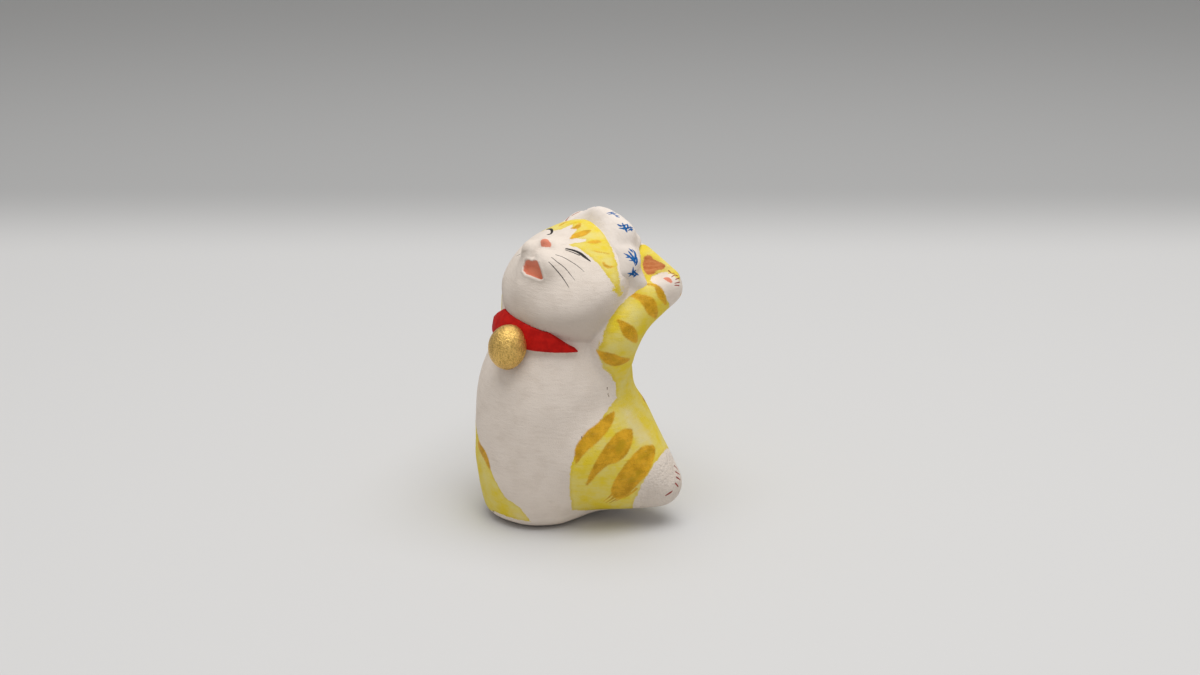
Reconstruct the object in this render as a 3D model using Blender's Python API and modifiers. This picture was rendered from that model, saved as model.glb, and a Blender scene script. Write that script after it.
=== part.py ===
"""Dancing lucky cat, a small hand-painted clay figurine.

Hollow body and head are pressed as front and back shells. Arms, leg, tail, ears, towel, collar and bell
are modelled apart and luted on with slip. The cat faces -Y, its left is +X, it stands on Z = 0.
"""

import math

import bmesh
import bpy
from mathutils import Matrix, Vector

MM = 0.001

# Clay
CLAY_WALL = 3.0 * MM
SLIP_GAP = 0.3 * MM

# Torso: a turned barrel, round at the foot, flattened front to back higher up, leaning back
FOOT_RADIUS = 11.0 * MM
FOOT_EDGE = 0.8 * MM
BELLY_HEIGHT = 13.0 * MM
BELLY_RADIUS = 14.0 * MM
CHEST_HEIGHT = 28.0 * MM
CHEST_RADIUS = 15.8 * MM
NECK_HEIGHT = 38.5 * MM
NECK_RADIUS = 12.7 * MM
DOME_HEIGHT = 46.0 * MM
TORSO_LEAN = 5.6 * MM
LEAN_START = 4.0 * MM
CHEST_FLATNESS = 0.97

# Head: an egg tipped back, so that its flat face looks up and forward
HEAD_HALF_WIDTH = 15.2 * MM
CROWN_HEIGHT = 15.0 * MM
JAW_HEIGHT = 13.3 * MM
FACE_DEPTH = 7.8 * MM
NAPE_DEPTH = 14.0 * MM
HEAD_RISE = 49.1 * MM
HEAD_SETBACK = 5.9 * MM
HEAD_OFFSET = 1.6 * MM
HEAD_PITCH = math.radians(55.0)
HEAD_ROLL = math.radians(5.0)
HEAD_TURN = math.radians(3.0)

# Face: how far each swelling stands out, how far it spreads and how high it sits
MUZZLE_SWELL = 2.0 * MM
MUZZLE_SPREAD = 5.4 * MM
MUZZLE_DROP = 2.2 * MM
PAD_SWELL = 0.8 * MM
PAD_SPREAD = 2.2 * MM
PAD_SPACING = 4.4 * MM
NOSE_SWELL = 0.9 * MM
NOSE_SPREAD = 1.7 * MM
NOSE_RISE = 1.2 * MM
CHIN_SWELL = 0.8 * MM
CHIN_SPREAD = 2.6 * MM
CHIN_DROP = 8.2 * MM
MOUTH_WIDTH = 4.8 * MM
MOUTH_HEIGHT = 3.6 * MM
MOUTH_DEPTH = 2.0 * MM
MOUTH_DROP = 5.3 * MM

# Arms, raised along both sides of the head
ARM_RADIUS = 4.8 * MM
WRIST_RADIUS = 3.9 * MM
PAW_RADIUS = 4.0 * MM
SHOULDER_HEIGHT = 33.4 * MM
SHOULDER_SINK = 4.0 * MM
SHOULDER_BACK = 2.4 * MM
LEFT_ARM_STANDOFF = 1.3 * MM
LEFT_PAW_BACK = 11.2 * MM
LEFT_PAW_RISE = -0.9 * MM
RIGHT_ARM_STANDOFF = 1.0 * MM
RIGHT_PAW_BACK = 17.7 * MM
RIGHT_PAW_RISE = 3.2 * MM

# Kicked left leg, a cone from the haunch to the foot
HAUNCH_RADIUS = 15.0 * MM
HAUNCH_SIDE = 5.6 * MM
HAUNCH_BACK = 6.6 * MM
HAUNCH_RISE = 15.7 * MM
FOOT_BALL_RADIUS = 4.9 * MM
KICK_LENGTH = 16.5 * MM
KICK_TURN = math.radians(26.0)
KICK_DROP = 7.2 * MM

# Tail
TAIL_RADIUS = 2.6 * MM
TAIL_LENGTH = 7.0 * MM
TAIL_TURN = math.radians(28.0)
TAIL_FALL = math.radians(24.0)

# Ears
EAR_WIDTH = 9.6 * MM
EAR_LENGTH = 9.2 * MM
EAR_THICKNESS = 3.6 * MM
EAR_CUP_DEPTH = 0.9 * MM
EAR_RIM = 1.2 * MM
EAR_SPREAD = math.radians(40.0)
EAR_SPLAY = math.radians(72.0)
EAR_SWEEP = math.radians(25.0)
EAR_SETBACK = 2.4 * MM

# Towel folded over the crown
TOWEL_WIDTH = 8.8 * MM
TOWEL_THICKNESS = 2.4 * MM
TOWEL_TILT = math.radians(40.0)
TOWEL_TURN = math.radians(12.0)
TOWEL_FRONT = -4.2 * MM
TOWEL_DROP = 0.4 * MM
EDGE_FALL = 1.1 * MM
FOLD_DENT = 1.0 * MM
FOLD_TURN = math.radians(47.0)
FOLD_SPREAD = math.radians(11.0)

# Collar and bell
COLLAR_THICKNESS = 0.8 * MM
COLLAR_LOWER_EDGE = 38.6 * MM
COLLAR_REACH = 5.4 * MM
COLLAR_SLANT = math.radians(36.0)
BELL_WIDTH = 8.6 * MM
BELL_LENGTH = 9.2 * MM
BELL_STANDOFF = 2.1 * MM
BELL_HEIGHT = 38.1 * MM
BELL_SIDE = 1.3 * MM

# Base disc, and the two holes that let steam out of the hollows
BASE_THICKNESS = 2.6 * MM
VENT_DIAMETER = 5.0 * MM
VENT_OFFSET = 4.2 * MM
NECK_VENT_DIAMETER = 5.0 * MM


def clear_scene():
    for item in list(bpy.data.objects):
        bpy.data.objects.remove(item, do_unlink=True)


def new_collection(name):
    group = bpy.data.collections.new(name)
    bpy.context.scene.collection.children.link(group)
    return group


def finish(name, colour, roughness, metallic=0.0):
    """Plain material of one piece."""
    material = bpy.data.materials.new(name)
    material.use_nodes = True
    surface = material.node_tree.nodes["Principled BSDF"]
    surface.inputs["Base Color"].default_value = (*colour, 1.0)
    surface.inputs["Roughness"].default_value = roughness
    surface.inputs["Metallic"].default_value = metallic
    return material


def mesh_from(bm, name):
    bmesh.ops.recalc_face_normals(bm, faces=bm.faces)
    mesh = bpy.data.meshes.new(name)
    bm.to_mesh(mesh)
    bm.free()
    return mesh


def evaluated_mesh(item, name):
    """Mesh of an object as its modifiers or its curve shape it. The object itself is removed."""
    bpy.context.view_layer.update()
    graph = bpy.context.evaluated_depsgraph_get()
    mesh = bpy.data.meshes.new_from_object(item.evaluated_get(graph), depsgraph=graph)
    mesh.name = name
    bpy.data.objects.remove(item, do_unlink=True)
    bm = bmesh.new()
    bm.from_mesh(mesh)
    bmesh.ops.remove_doubles(bm, verts=bm.verts, dist=0.00002)
    bmesh.ops.recalc_face_normals(bm, faces=bm.faces)
    bm.to_mesh(mesh)
    bm.free()
    return mesh


def helper(name, mesh, matrix=None):
    """Object that only cuts or bounds others."""
    item = bpy.data.objects.new(name, mesh)
    CUTTERS.objects.link(item)
    item.hide_render = True
    item.display_type = "WIRE"
    if matrix is not None:
        item.matrix_world = matrix
    return item


def piece(name, mesh, material, matrix=None):
    """One clay piece of the figurine."""
    item = bpy.data.objects.new(name, mesh.copy())
    item.data.name = name
    PARTS.objects.link(item)
    item.data.materials.clear()
    item.data.materials.append(material)
    for face in item.data.polygons:
        face.use_smooth = True
    if matrix is not None:
        item.matrix_world = matrix
    return item


def combine(item, other, operation):
    step = item.modifiers.new(operation.lower() + "_" + other.name, "BOOLEAN")
    step.operation = operation
    step.solver = "EXACT"
    step.object = other


def cut(item, *others):
    for other in others:
        combine(item, other, "DIFFERENCE")


def keep(item, *others):
    for other in others:
        combine(item, other, "INTERSECT")


def grown(form, distance, name):
    """Copy of a form with its surface moved out, used to cut the seat of a neighbour."""
    mesh = form.data.copy()
    bm = bmesh.new()
    bm.from_mesh(mesh)
    bm.normal_update()
    for vert in bm.verts:
        vert.co += vert.normal * distance
    bm.to_mesh(mesh)
    bm.free()
    return helper(name, mesh, form.matrix_world.copy())


def block(name, low, high, matrix=None):
    """Box between two corners, used to bound a piece."""
    bm = bmesh.new()
    size = Vector(high) - Vector(low)
    middle = (Vector(high) + Vector(low)) / 2
    bmesh.ops.create_cube(bm, size=1.0, matrix=Matrix.Translation(middle) @ Matrix.Diagonal((*size, 1.0)))
    return helper(name, mesh_from(bm, name), matrix)


def spline(points, count):
    """Points along a smooth curve through the given ones. Any number of values per point."""
    rows = [tuple(2 * a - b for a, b in zip(points[0], points[1]))]
    rows += list(points)
    rows.append(tuple(2 * a - b for a, b in zip(points[-1], points[-2])))
    result = []
    spans = len(points) - 1
    for step in range(count + 1):
        place = step / count * spans
        span = min(int(place), spans - 1)
        t = place - span
        weights = (
            (-t ** 3 + 2 * t ** 2 - t) / 2,
            (3 * t ** 3 - 5 * t ** 2 + 2) / 2,
            (-3 * t ** 3 + 4 * t ** 2 + t) / 2,
            (t ** 3 - t ** 2) / 2,
        )
        around = rows[span:span + 4]
        values = zip(*around)
        result.append(tuple(sum(w * v for w, v in zip(weights, value)) for value in values))
    return result


def turned_mesh(profile, steps, name):
    """Solid of revolution about Z from (radius, height) points given from top to bottom."""
    bm = bmesh.new()
    verts = [bm.verts.new((radius, 0.0, height)) for radius, height in profile]
    for first, second in zip(verts, verts[1:]):
        bm.edges.new((first, second))
    mesh = bpy.data.meshes.new(name)
    bm.to_mesh(mesh)
    bm.free()
    item = bpy.data.objects.new(name, mesh)
    CUTTERS.objects.link(item)
    screw = item.modifiers.new("turn", "SCREW")
    screw.steps = steps
    screw.render_steps = steps
    screw.use_merge_vertices = True
    screw.merge_threshold = 0.00002
    return evaluated_mesh(item, name)


def limb_mesh(points, name, count=14, sides=14):
    """Rolled clay limb along (x, y, z, radius) points, with a rounded far end."""
    path = spline(points, count)
    end = Vector(path[-1][:3])
    along = (end - Vector(path[-2][:3])).normalized()
    radius = path[-1][3]
    for turn in (0.3, 0.6, 0.85, 1.05, 1.25, 1.42):
        path.append((*(end + along * radius * math.sin(turn)), radius * math.cos(turn)))
    curve = bpy.data.curves.new(name, "CURVE")
    curve.dimensions = "3D"
    curve.bevel_depth = MM
    curve.bevel_resolution = sides // 2 - 2
    curve.use_fill_caps = True
    line = curve.splines.new("POLY")
    line.points.add(len(path) - 1)
    for point, (x, y, z, radius) in zip(line.points, path):
        point.co = (x, y, z, 1.0)
        point.radius = radius / MM
    item = bpy.data.objects.new(name, curve)
    CUTTERS.objects.link(item)
    return evaluated_mesh(item, name)


def lean(height):
    """How far back the torso axis stands at a height."""
    t = min(max((height - LEAN_START) / (NECK_HEIGHT - LEAN_START), 0.0), 1.0)
    return TORSO_LEAN * t * t * (3.0 - 2.0 * t) if t < 1.0 else TORSO_LEAN


def torso_side():
    """Outline of the torso from neck to foot as (radius, height) points."""
    sides = [
        (NECK_RADIUS, NECK_HEIGHT),
        (CHEST_RADIUS, CHEST_HEIGHT),
        (BELLY_RADIUS, BELLY_HEIGHT),
        (FOOT_RADIUS, 0.0),
    ]
    return spline(sides, 18)


def torso_front_at(height):
    """Place of the front of the torso along Y at a height below the neck."""
    outline = torso_side()
    for (upper, top), (lower, bottom) in zip(outline, outline[1:]):
        if bottom <= height <= top:
            radius = lower + (upper - lower) * (height - bottom) / (top - bottom)
            return lean(height) - radius * CHEST_FLATNESS
    return lean(height) - NECK_RADIUS * CHEST_FLATNESS


def torso_mesh(inset, name):
    """Barrel of the torso. The hollow is the same barrel drawn in by the wall and left open below."""
    profile = []
    for step in range(8):
        turn = step / 8 * math.pi / 2
        height = NECK_HEIGHT + (DOME_HEIGHT - NECK_HEIGHT - inset) * math.cos(turn)
        profile.append(((NECK_RADIUS - inset) * math.sin(turn), height))
    wall = [(radius - inset, height) for radius, height in torso_side()]
    if inset:
        profile += wall
        profile.append((FOOT_RADIUS - inset, -4.0 * MM))
        profile.append((0.0, -4.0 * MM))
    else:
        profile += wall[:-1]
        profile.append((FOOT_RADIUS, FOOT_EDGE))
        profile.append((FOOT_RADIUS - 0.3 * FOOT_EDGE, 0.3 * FOOT_EDGE))
        profile.append((FOOT_RADIUS - FOOT_EDGE, 0.0))
        profile.append((0.0, 0.0))
    mesh = turned_mesh(profile, 28 if inset else 40, name)
    for vert in mesh.vertices:
        share = min(max(vert.co.z / CHEST_HEIGHT, 0.0), 1.0)
        vert.co.y *= 1.0 + (CHEST_FLATNESS - 1.0) * share
        vert.co.y += lean(vert.co.z)
    return mesh


def egg_mesh(inset, name, bumps=(), segments=44, rings=30):
    """Head egg drawn in by the inset: X to the cat's left, Y to the crown, Z out of the face."""
    bm = bmesh.new()
    bmesh.ops.create_uvsphere(bm, u_segments=segments, v_segments=rings, radius=1.0)
    for vert in bm.verts:
        front = max(vert.co.z, 0.0)
        vert.co.x *= HEAD_HALF_WIDTH - inset
        vert.co.y *= (CROWN_HEIGHT if vert.co.y > 0.0 else JAW_HEIGHT) - inset
        vert.co.z *= (FACE_DEPTH if front else NAPE_DEPTH) - inset
        rise = 0.0
        for side, height, swell, spread in bumps:
            apart = (vert.co.x - side) ** 2 + (vert.co.y - height) ** 2
            rise += swell * math.exp(-apart / spread ** 2)
        vert.co.z += rise * min(front * 3.0, 1.0)
    return mesh_from(bm, name)


def head_surface(side, height):
    """Distance of the plain head egg in front of the head centre."""
    reach = CROWN_HEIGHT if height > 0.0 else JAW_HEIGHT
    rest = 1.0 - (side / HEAD_HALF_WIDTH) ** 2 - (height / reach) ** 2
    return FACE_DEPTH * math.sqrt(max(rest, 0.0))


clear_scene()
PARTS = new_collection("dancing_lucky_cat")
CUTTERS = new_collection("cutters")

white_clay = (0.83, 0.79, 0.72)
yellow_wash = (0.80, 0.56, 0.22)

# Torso, a front and a back shell with the seam along the lean

torso = helper("torso_form", torso_mesh(0.0, "torso_form"))
hollow = helper("torso_hollow", torso_mesh(CLAY_WALL, "torso_hollow"))
torso_seat = grown(torso, SLIP_GAP, "torso_seat")

far = 0.1
seam_turn = Matrix.Rotation(-math.atan2(TORSO_LEAN, NECK_HEIGHT), 4, "X")
torso_front = block("torso_front", (-far, -far, -far), (far, -SLIP_GAP / 2, far), seam_turn)
torso_back = block("torso_back", (-far, SLIP_GAP / 2, -far), (far, far, far), seam_turn)

bm = bmesh.new()
bmesh.ops.create_cone(
    bm,
    cap_ends=True,
    segments=24,
    radius1=NECK_VENT_DIAMETER / 2,
    radius2=NECK_VENT_DIAMETER / 2,
    depth=4 * CLAY_WALL,
)
neck_vent_place = Matrix.Translation((0.0, lean(NECK_HEIGHT), DOME_HEIGHT))
neck_vent = helper("neck_vent", mesh_from(bm, "neck_vent"), neck_vent_place)

body_front_shell = piece("body_front_shell", torso.data, finish("belly_clay", white_clay, 0.75))
cut(body_front_shell, hollow, neck_vent)
keep(body_front_shell, torso_front)

body_back_shell = piece("body_back_shell", torso.data, finish("back_clay", white_clay, 0.75))
cut(body_back_shell, hollow, neck_vent)
keep(body_back_shell, torso_back)

# Disc let into the open foot of the torso, pierced so that the hollow can breathe in the kiln

base_fit = grown(hollow, -SLIP_GAP, "base_fit")
base_slab = block("base_slab", (-far, -far, 0.0), (far, far, BASE_THICKNESS))
bm = bmesh.new()
bmesh.ops.create_cone(
    bm,
    cap_ends=True,
    segments=24,
    radius1=VENT_DIAMETER / 2,
    radius2=VENT_DIAMETER / 2,
    depth=4 * BASE_THICKNESS,
)
vent = helper("vent", mesh_from(bm, "vent"), Matrix.Translation((0.0, VENT_OFFSET, 0.0)))

base_disc = piece("base_disc", base_fit.data, finish("bare_clay", (0.62, 0.42, 0.30), 0.9))
keep(base_disc, base_slab)
cut(base_disc, vent)

# Head, a face shell and a back shell

head_matrix = (
    Matrix.Translation((HEAD_OFFSET, HEAD_SETBACK, HEAD_RISE))
    @ Matrix.Rotation(-HEAD_TURN, 4, "Z")
    @ Matrix.Rotation(math.pi / 2 - HEAD_PITCH, 4, "X")
    @ Matrix.Rotation(-HEAD_ROLL, 4, "Z")
)
face_bumps = (
    (0.0, -MUZZLE_DROP, MUZZLE_SWELL, MUZZLE_SPREAD),
    (-PAD_SPACING / 2, -MUZZLE_DROP, PAD_SWELL, PAD_SPREAD),
    (PAD_SPACING / 2, -MUZZLE_DROP, PAD_SWELL, PAD_SPREAD),
    (0.0, NOSE_RISE, NOSE_SWELL, NOSE_SPREAD),
    (0.0, -CHIN_DROP, CHIN_SWELL, CHIN_SPREAD),
)
head = helper("head_form", egg_mesh(0.0, "head_form", face_bumps), head_matrix)
head_seat = grown(head, SLIP_GAP, "head_seat")
head_hollow = helper("head_hollow", egg_mesh(CLAY_WALL, "head_hollow", (), 28, 18), head_matrix)
face_side = block("face_side", (-far, -far, SLIP_GAP / 2), (far, far, far), head_matrix)
nape_side = block("nape_side", (-far, -far, -far), (far, far, -SLIP_GAP / 2), head_matrix)

bm = bmesh.new()
bmesh.ops.create_uvsphere(bm, u_segments=24, v_segments=12, radius=1.0)
for vert in bm.verts:
    narrowing = 1.0 - 0.22 * vert.co.y
    vert.co.x *= narrowing * MOUTH_WIDTH / 2
    vert.co.y *= MOUTH_HEIGHT / 2
    vert.co.z *= MOUTH_DEPTH
mouth_floor = head_surface(0.0, -MOUTH_DROP) + MUZZLE_SWELL * 0.7
mouth_matrix = head_matrix @ Matrix.Translation((0.0, -MOUTH_DROP, mouth_floor))
mouth = helper("mouth", mesh_from(bm, "mouth"), mouth_matrix)

head_front_shell = piece("head_front_shell", head.data, finish("face_clay", white_clay, 0.75), head_matrix)
cut(head_front_shell, head_hollow, torso_seat, mouth)
keep(head_front_shell, face_side)

head_back_shell = piece("head_back_shell", head.data, finish("nape_clay", white_clay, 0.75), head_matrix)
cut(head_back_shell, head_hollow, torso_seat)
keep(head_back_shell, nape_side)

# Arms, rolled and bent up along the head

arm_wash = finish("arm_wash", yellow_wash, 0.75)


def arm_mesh(side, standoff, paw_back, paw_rise, name):
    """Arm from inside the shoulder to the paw beside the ear. Side is 1 for the cat's left."""
    out = HEAD_HALF_WIDTH + standoff + side * HEAD_OFFSET
    shoulder = (CHEST_RADIUS - SHOULDER_SINK, lean(SHOULDER_HEIGHT) + SHOULDER_BACK, SHOULDER_HEIGHT)
    paw = (out, HEAD_SETBACK + paw_back, HEAD_RISE + paw_rise)
    points = [(shoulder[0] - 2.5 * MM, shoulder[1] - 2.0 * MM, shoulder[2] - 5.0 * MM, ARM_RADIUS)]
    bends = ((0.0, 0.0, 0.0, ARM_RADIUS), (0.48, -0.03, 0.42, ARM_RADIUS), (0.8, 0.34, 0.74, WRIST_RADIUS))
    for x_share, y_share, z_share, radius in bends + ((1.0, 1.0, 1.0, PAW_RADIUS),):
        shares = (x_share, y_share, z_share)
        points.append((*(a + (b - a) * share for a, b, share in zip(shoulder, paw, shares)), radius))
    placed = [(side * x, y, z, radius) for x, y, z, radius in points]
    return limb_mesh(placed, name)


left_arm_mesh = arm_mesh(1, LEFT_ARM_STANDOFF, LEFT_PAW_BACK, LEFT_PAW_RISE, "left_arm_form")
right_arm_mesh = arm_mesh(-1, RIGHT_ARM_STANDOFF, RIGHT_PAW_BACK, RIGHT_PAW_RISE, "right_arm_form")
left_arm_form = helper("left_arm_form", left_arm_mesh)
right_arm_form = helper("right_arm_form", right_arm_mesh)
left_arm_seat = grown(left_arm_form, SLIP_GAP, "left_arm_seat")
right_arm_seat = grown(right_arm_form, SLIP_GAP, "right_arm_seat")

left_arm = piece("left_arm", left_arm_form.data, arm_wash)
cut(left_arm, torso_seat, head_seat)

right_arm = piece("right_arm", right_arm_form.data, arm_wash.copy())
cut(right_arm, torso_seat, head_seat)

# Kicked leg, the haunch seated on the left and back of the torso

kick = Vector((KICK_LENGTH * math.cos(KICK_TURN), KICK_LENGTH * math.sin(KICK_TURN), -KICK_DROP))
cone_turn = math.asin((HAUNCH_RADIUS - FOOT_BALL_RADIUS) / kick.length)
leg_profile = []
for step in range(10):
    turn = math.pi / 2 - step / 9 * (math.pi / 2 - cone_turn)
    leg_profile.append((FOOT_BALL_RADIUS * math.cos(turn), kick.length + FOOT_BALL_RADIUS * math.sin(turn)))
for step in range(17):
    turn = cone_turn - step / 16 * (math.pi / 2 + cone_turn)
    leg_profile.append((HAUNCH_RADIUS * math.cos(turn), HAUNCH_RADIUS * math.sin(turn)))
leg_profile[0] = (0.0, leg_profile[0][1])
leg_profile[-1] = (0.0, leg_profile[-1][1])
leg_matrix = (
    Matrix.Translation((HAUNCH_SIDE, HAUNCH_BACK, HAUNCH_RISE))
    @ kick.to_track_quat("Z", "Y").to_matrix().to_4x4()
)
leg = helper("leg_form", turned_mesh(leg_profile, 38, "leg_form"), leg_matrix)
leg_seat = grown(leg, SLIP_GAP, "leg_seat")

left_leg = piece("left_leg", leg.data, finish("leg_wash", yellow_wash, 0.75), leg_matrix)
cut(left_leg, torso_seat, left_arm_seat)

# Bob tail low on the back

haunch = Vector((HAUNCH_SIDE, HAUNCH_BACK, HAUNCH_RISE))
tail_way = Vector((
    -math.sin(TAIL_TURN) * math.cos(TAIL_FALL),
    math.cos(TAIL_TURN) * math.cos(TAIL_FALL),
    -math.sin(TAIL_FALL),
))
tail_root = haunch + tail_way * (HAUNCH_RADIUS - TAIL_RADIUS)
tail_bend = tail_root + tail_way * 0.6 * TAIL_LENGTH
tail_end = tail_bend + (tail_way + Vector((0.0, 0.0, 1.2))) * 0.3 * TAIL_LENGTH
tail_points = (
    (*tail_root, TAIL_RADIUS),
    (*tail_bend, TAIL_RADIUS),
    (*tail_end, 0.85 * TAIL_RADIUS),
)
tail_form = helper("tail_form", limb_mesh(tail_points, "tail_form", count=8, sides=12))
tail = piece("tail", tail_form.data, finish("tail_wash", yellow_wash, 0.75))
cut(tail, torso_seat, leg_seat)

# Ears, thin cones with a shallow cup in front


def ear_mesh(name):
    """Flattened cone with a round tip. Its foot reaches into the head."""
    tip = 0.16 * EAR_WIDTH
    profile = [(0.0, EAR_LENGTH)]
    for step in range(1, 5):
        turn = step / 4 * math.pi / 2.6
        profile.append((tip * math.sin(turn), EAR_LENGTH - tip + tip * math.cos(turn)))
    profile.append((EAR_WIDTH / 2, 0.0))
    profile.append((EAR_WIDTH / 2, -3.0 * MM))
    profile.append((0.0, -3.0 * MM))
    mesh = turned_mesh(profile, 28, name)
    for vert in mesh.vertices:
        vert.co.y *= EAR_THICKNESS / EAR_WIDTH
    return mesh


def ear_cup_mesh(name):
    """Shallow egg that hollows the front of the ear, narrower towards the tip."""
    bm = bmesh.new()
    bmesh.ops.create_uvsphere(bm, u_segments=20, v_segments=12, radius=1.0)
    for vert in bm.verts:
        vert.co.x *= (1.0 - 0.45 * vert.co.z) * (EAR_WIDTH / 2 - EAR_RIM) * 0.8
        vert.co.y *= EAR_CUP_DEPTH
        vert.co.z *= EAR_LENGTH / 2 - EAR_RIM
    return mesh_from(bm, name)


def ear_place(side):
    """Ear foot on the head, cone axis turned out and back. Side is 1 for the cat's left."""
    foot = Vector((
        side * HEAD_HALF_WIDTH * math.sin(EAR_SPREAD),
        CROWN_HEIGHT * math.cos(EAR_SPREAD),
        -EAR_SETBACK,
    ))
    # Cone axis along local Z turned to the crown, its cup along local -Y turned to the face
    upright = Matrix.Rotation(-math.pi / 2, 4, "X")
    turn = Matrix.Rotation(-side * EAR_SPLAY, 4, "Z") @ Matrix.Rotation(-EAR_SWEEP, 4, "X")
    return head_matrix @ Matrix.Translation(foot) @ turn @ upright


ear_wash = finish("ear_wash", yellow_wash, 0.75)
ear_seats = []
for side, name, arm_seat in ((1, "left_ear", left_arm_seat), (-1, "right_ear", right_arm_seat)):
    ear_matrix = ear_place(side)
    form = helper(name + "_form", ear_mesh(name + "_form"), ear_matrix)
    cup_height = EAR_LENGTH / 2 - 0.6 * EAR_RIM
    cup_front = -EAR_THICKNESS / 2 * (1.0 - cup_height / EAR_LENGTH)
    slope = Matrix.Rotation(-math.atan2(EAR_THICKNESS / 2, EAR_LENGTH), 4, "X")
    cup_matrix = ear_matrix @ Matrix.Translation((0.0, cup_front, cup_height)) @ slope
    cup = helper(name + "_cup", ear_cup_mesh(name + "_cup"), cup_matrix)
    ear = piece(name, form.data, ear_wash.copy(), ear_matrix)
    cut(ear, cup, head_seat, arm_seat)
    ear_seats.append(grown(form, SLIP_GAP, name + "_seat"))

# Towel, a strip laid over the crown in front of the ears, thin at its edges and tucked in at both sides

towel_turn = head_matrix @ Matrix.Rotation(-TOWEL_TURN, 4, "Y") @ Matrix.Rotation(TOWEL_TILT, 4, "X")
cover = SLIP_GAP + TOWEL_THICKNESS
towel_mesh = egg_mesh(-cover, "towel_form", (), 40, 32)
towel_axes = (head_matrix.inverted() @ towel_turn).to_3x3()
along, crownward, across = (towel_axes.col[axis].copy() for axis in range(3))
for vert in towel_mesh.vertices:
    place = 2.0 * (TOWEL_FRONT - vert.co.dot(across)) / TOWEL_WIDTH - 1.0
    turn = math.atan2(abs(vert.co.dot(along)), vert.co.dot(crownward))
    fall = EDGE_FALL * min(place * place, 1.0)
    fall += FOLD_DENT * math.exp(-(((turn - FOLD_TURN) / FOLD_SPREAD) ** 2))
    vert.co *= 1.0 - fall / vert.co.length
towel_region = block(
    "towel_region",
    (-far, -TOWEL_DROP, TOWEL_FRONT - TOWEL_WIDTH),
    (far, far, TOWEL_FRONT),
    towel_turn,
)
towel = piece("towel", towel_mesh, finish("towel_white", (0.86, 0.84, 0.80), 0.8), head_matrix)
keep(towel, towel_region)
cut(towel, head_seat, *ear_seats, left_arm_seat, right_arm_seat)

# Collar, the strip between jaw and chest, and the ball bell pressed onto it

collar_form = grown(torso, SLIP_GAP + COLLAR_THICKNESS, "collar_form")
collar_seat = grown(torso, 2 * SLIP_GAP + COLLAR_THICKNESS, "collar_seat")
collar_end = lean(NECK_HEIGHT) - COLLAR_REACH
collar_region = block("collar_region", (-far, -far, COLLAR_LOWER_EDGE), (far, far, DOME_HEIGHT))
collar_tip = Matrix.Translation((0.0, collar_end, COLLAR_LOWER_EDGE))
collar_slant = collar_tip @ Matrix.Rotation(COLLAR_SLANT, 4, "X")
collar_ends = block("collar_ends", (-far, -far, -far), (far, 0.0, far), collar_slant)
collar = piece("collar", collar_form.data, finish("collar_red", (0.45, 0.05, 0.03), 0.6))
keep(collar, collar_region, collar_ends)
cut(collar, torso_seat, head_seat)

bell_y = torso_front_at(BELL_HEIGHT) - BELL_STANDOFF
bell_matrix = Matrix.Translation((BELL_SIDE, bell_y, BELL_HEIGHT))
bm = bmesh.new()
bmesh.ops.create_uvsphere(bm, u_segments=24, v_segments=16, radius=0.5)
bmesh.ops.scale(bm, vec=(BELL_WIDTH, BELL_WIDTH, BELL_LENGTH), verts=bm.verts)
bell = piece("bell", mesh_from(bm, "bell"), finish("bell_gold", (0.62, 0.42, 0.12), 0.4, 0.6), bell_matrix)
cut(bell, torso_seat, collar_seat, head_seat)
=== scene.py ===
import math

import bmesh
import bpy
import numpy as np
from mathutils import Matrix, Vector, noise
from mathutils.bvhtree import BVHTree


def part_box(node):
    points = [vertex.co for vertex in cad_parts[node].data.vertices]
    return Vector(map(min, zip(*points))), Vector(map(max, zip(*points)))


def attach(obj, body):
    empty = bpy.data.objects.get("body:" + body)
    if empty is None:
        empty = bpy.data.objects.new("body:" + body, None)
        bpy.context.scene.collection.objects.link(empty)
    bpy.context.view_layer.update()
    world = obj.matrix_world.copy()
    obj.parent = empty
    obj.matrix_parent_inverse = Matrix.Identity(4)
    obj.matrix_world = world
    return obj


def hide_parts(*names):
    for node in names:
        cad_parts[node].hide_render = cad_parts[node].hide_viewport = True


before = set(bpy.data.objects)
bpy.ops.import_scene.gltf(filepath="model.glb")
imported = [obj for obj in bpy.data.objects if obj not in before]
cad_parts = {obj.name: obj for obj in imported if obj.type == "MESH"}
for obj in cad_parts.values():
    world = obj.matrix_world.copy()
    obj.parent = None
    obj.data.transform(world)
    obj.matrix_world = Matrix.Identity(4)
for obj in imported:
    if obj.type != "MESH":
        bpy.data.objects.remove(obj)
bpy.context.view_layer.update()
MM = 0.001

# Base disc: a slab of the same clay that closes the hollow body from below. It was cut by hand, left
# bare, and carries the vent hole and the smears of slip and ground coat that ran round the rim.

CLAY_BUFF = (0.52, 0.40, 0.29, 1.0)
CLAY_DARK = (0.36, 0.25, 0.17, 1.0)
COAT_SMEAR = (0.74, 0.67, 0.59, 1.0)
SMEAR_REACH = (7.2, 10.4)
SMEAR_WANDER = 4.0
SMEAR_COVER = 0.8
GRIT_SIZE = 0.35
PATCH_SIZE = 2.6
CLAY_RELIEF = 0.16


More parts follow.
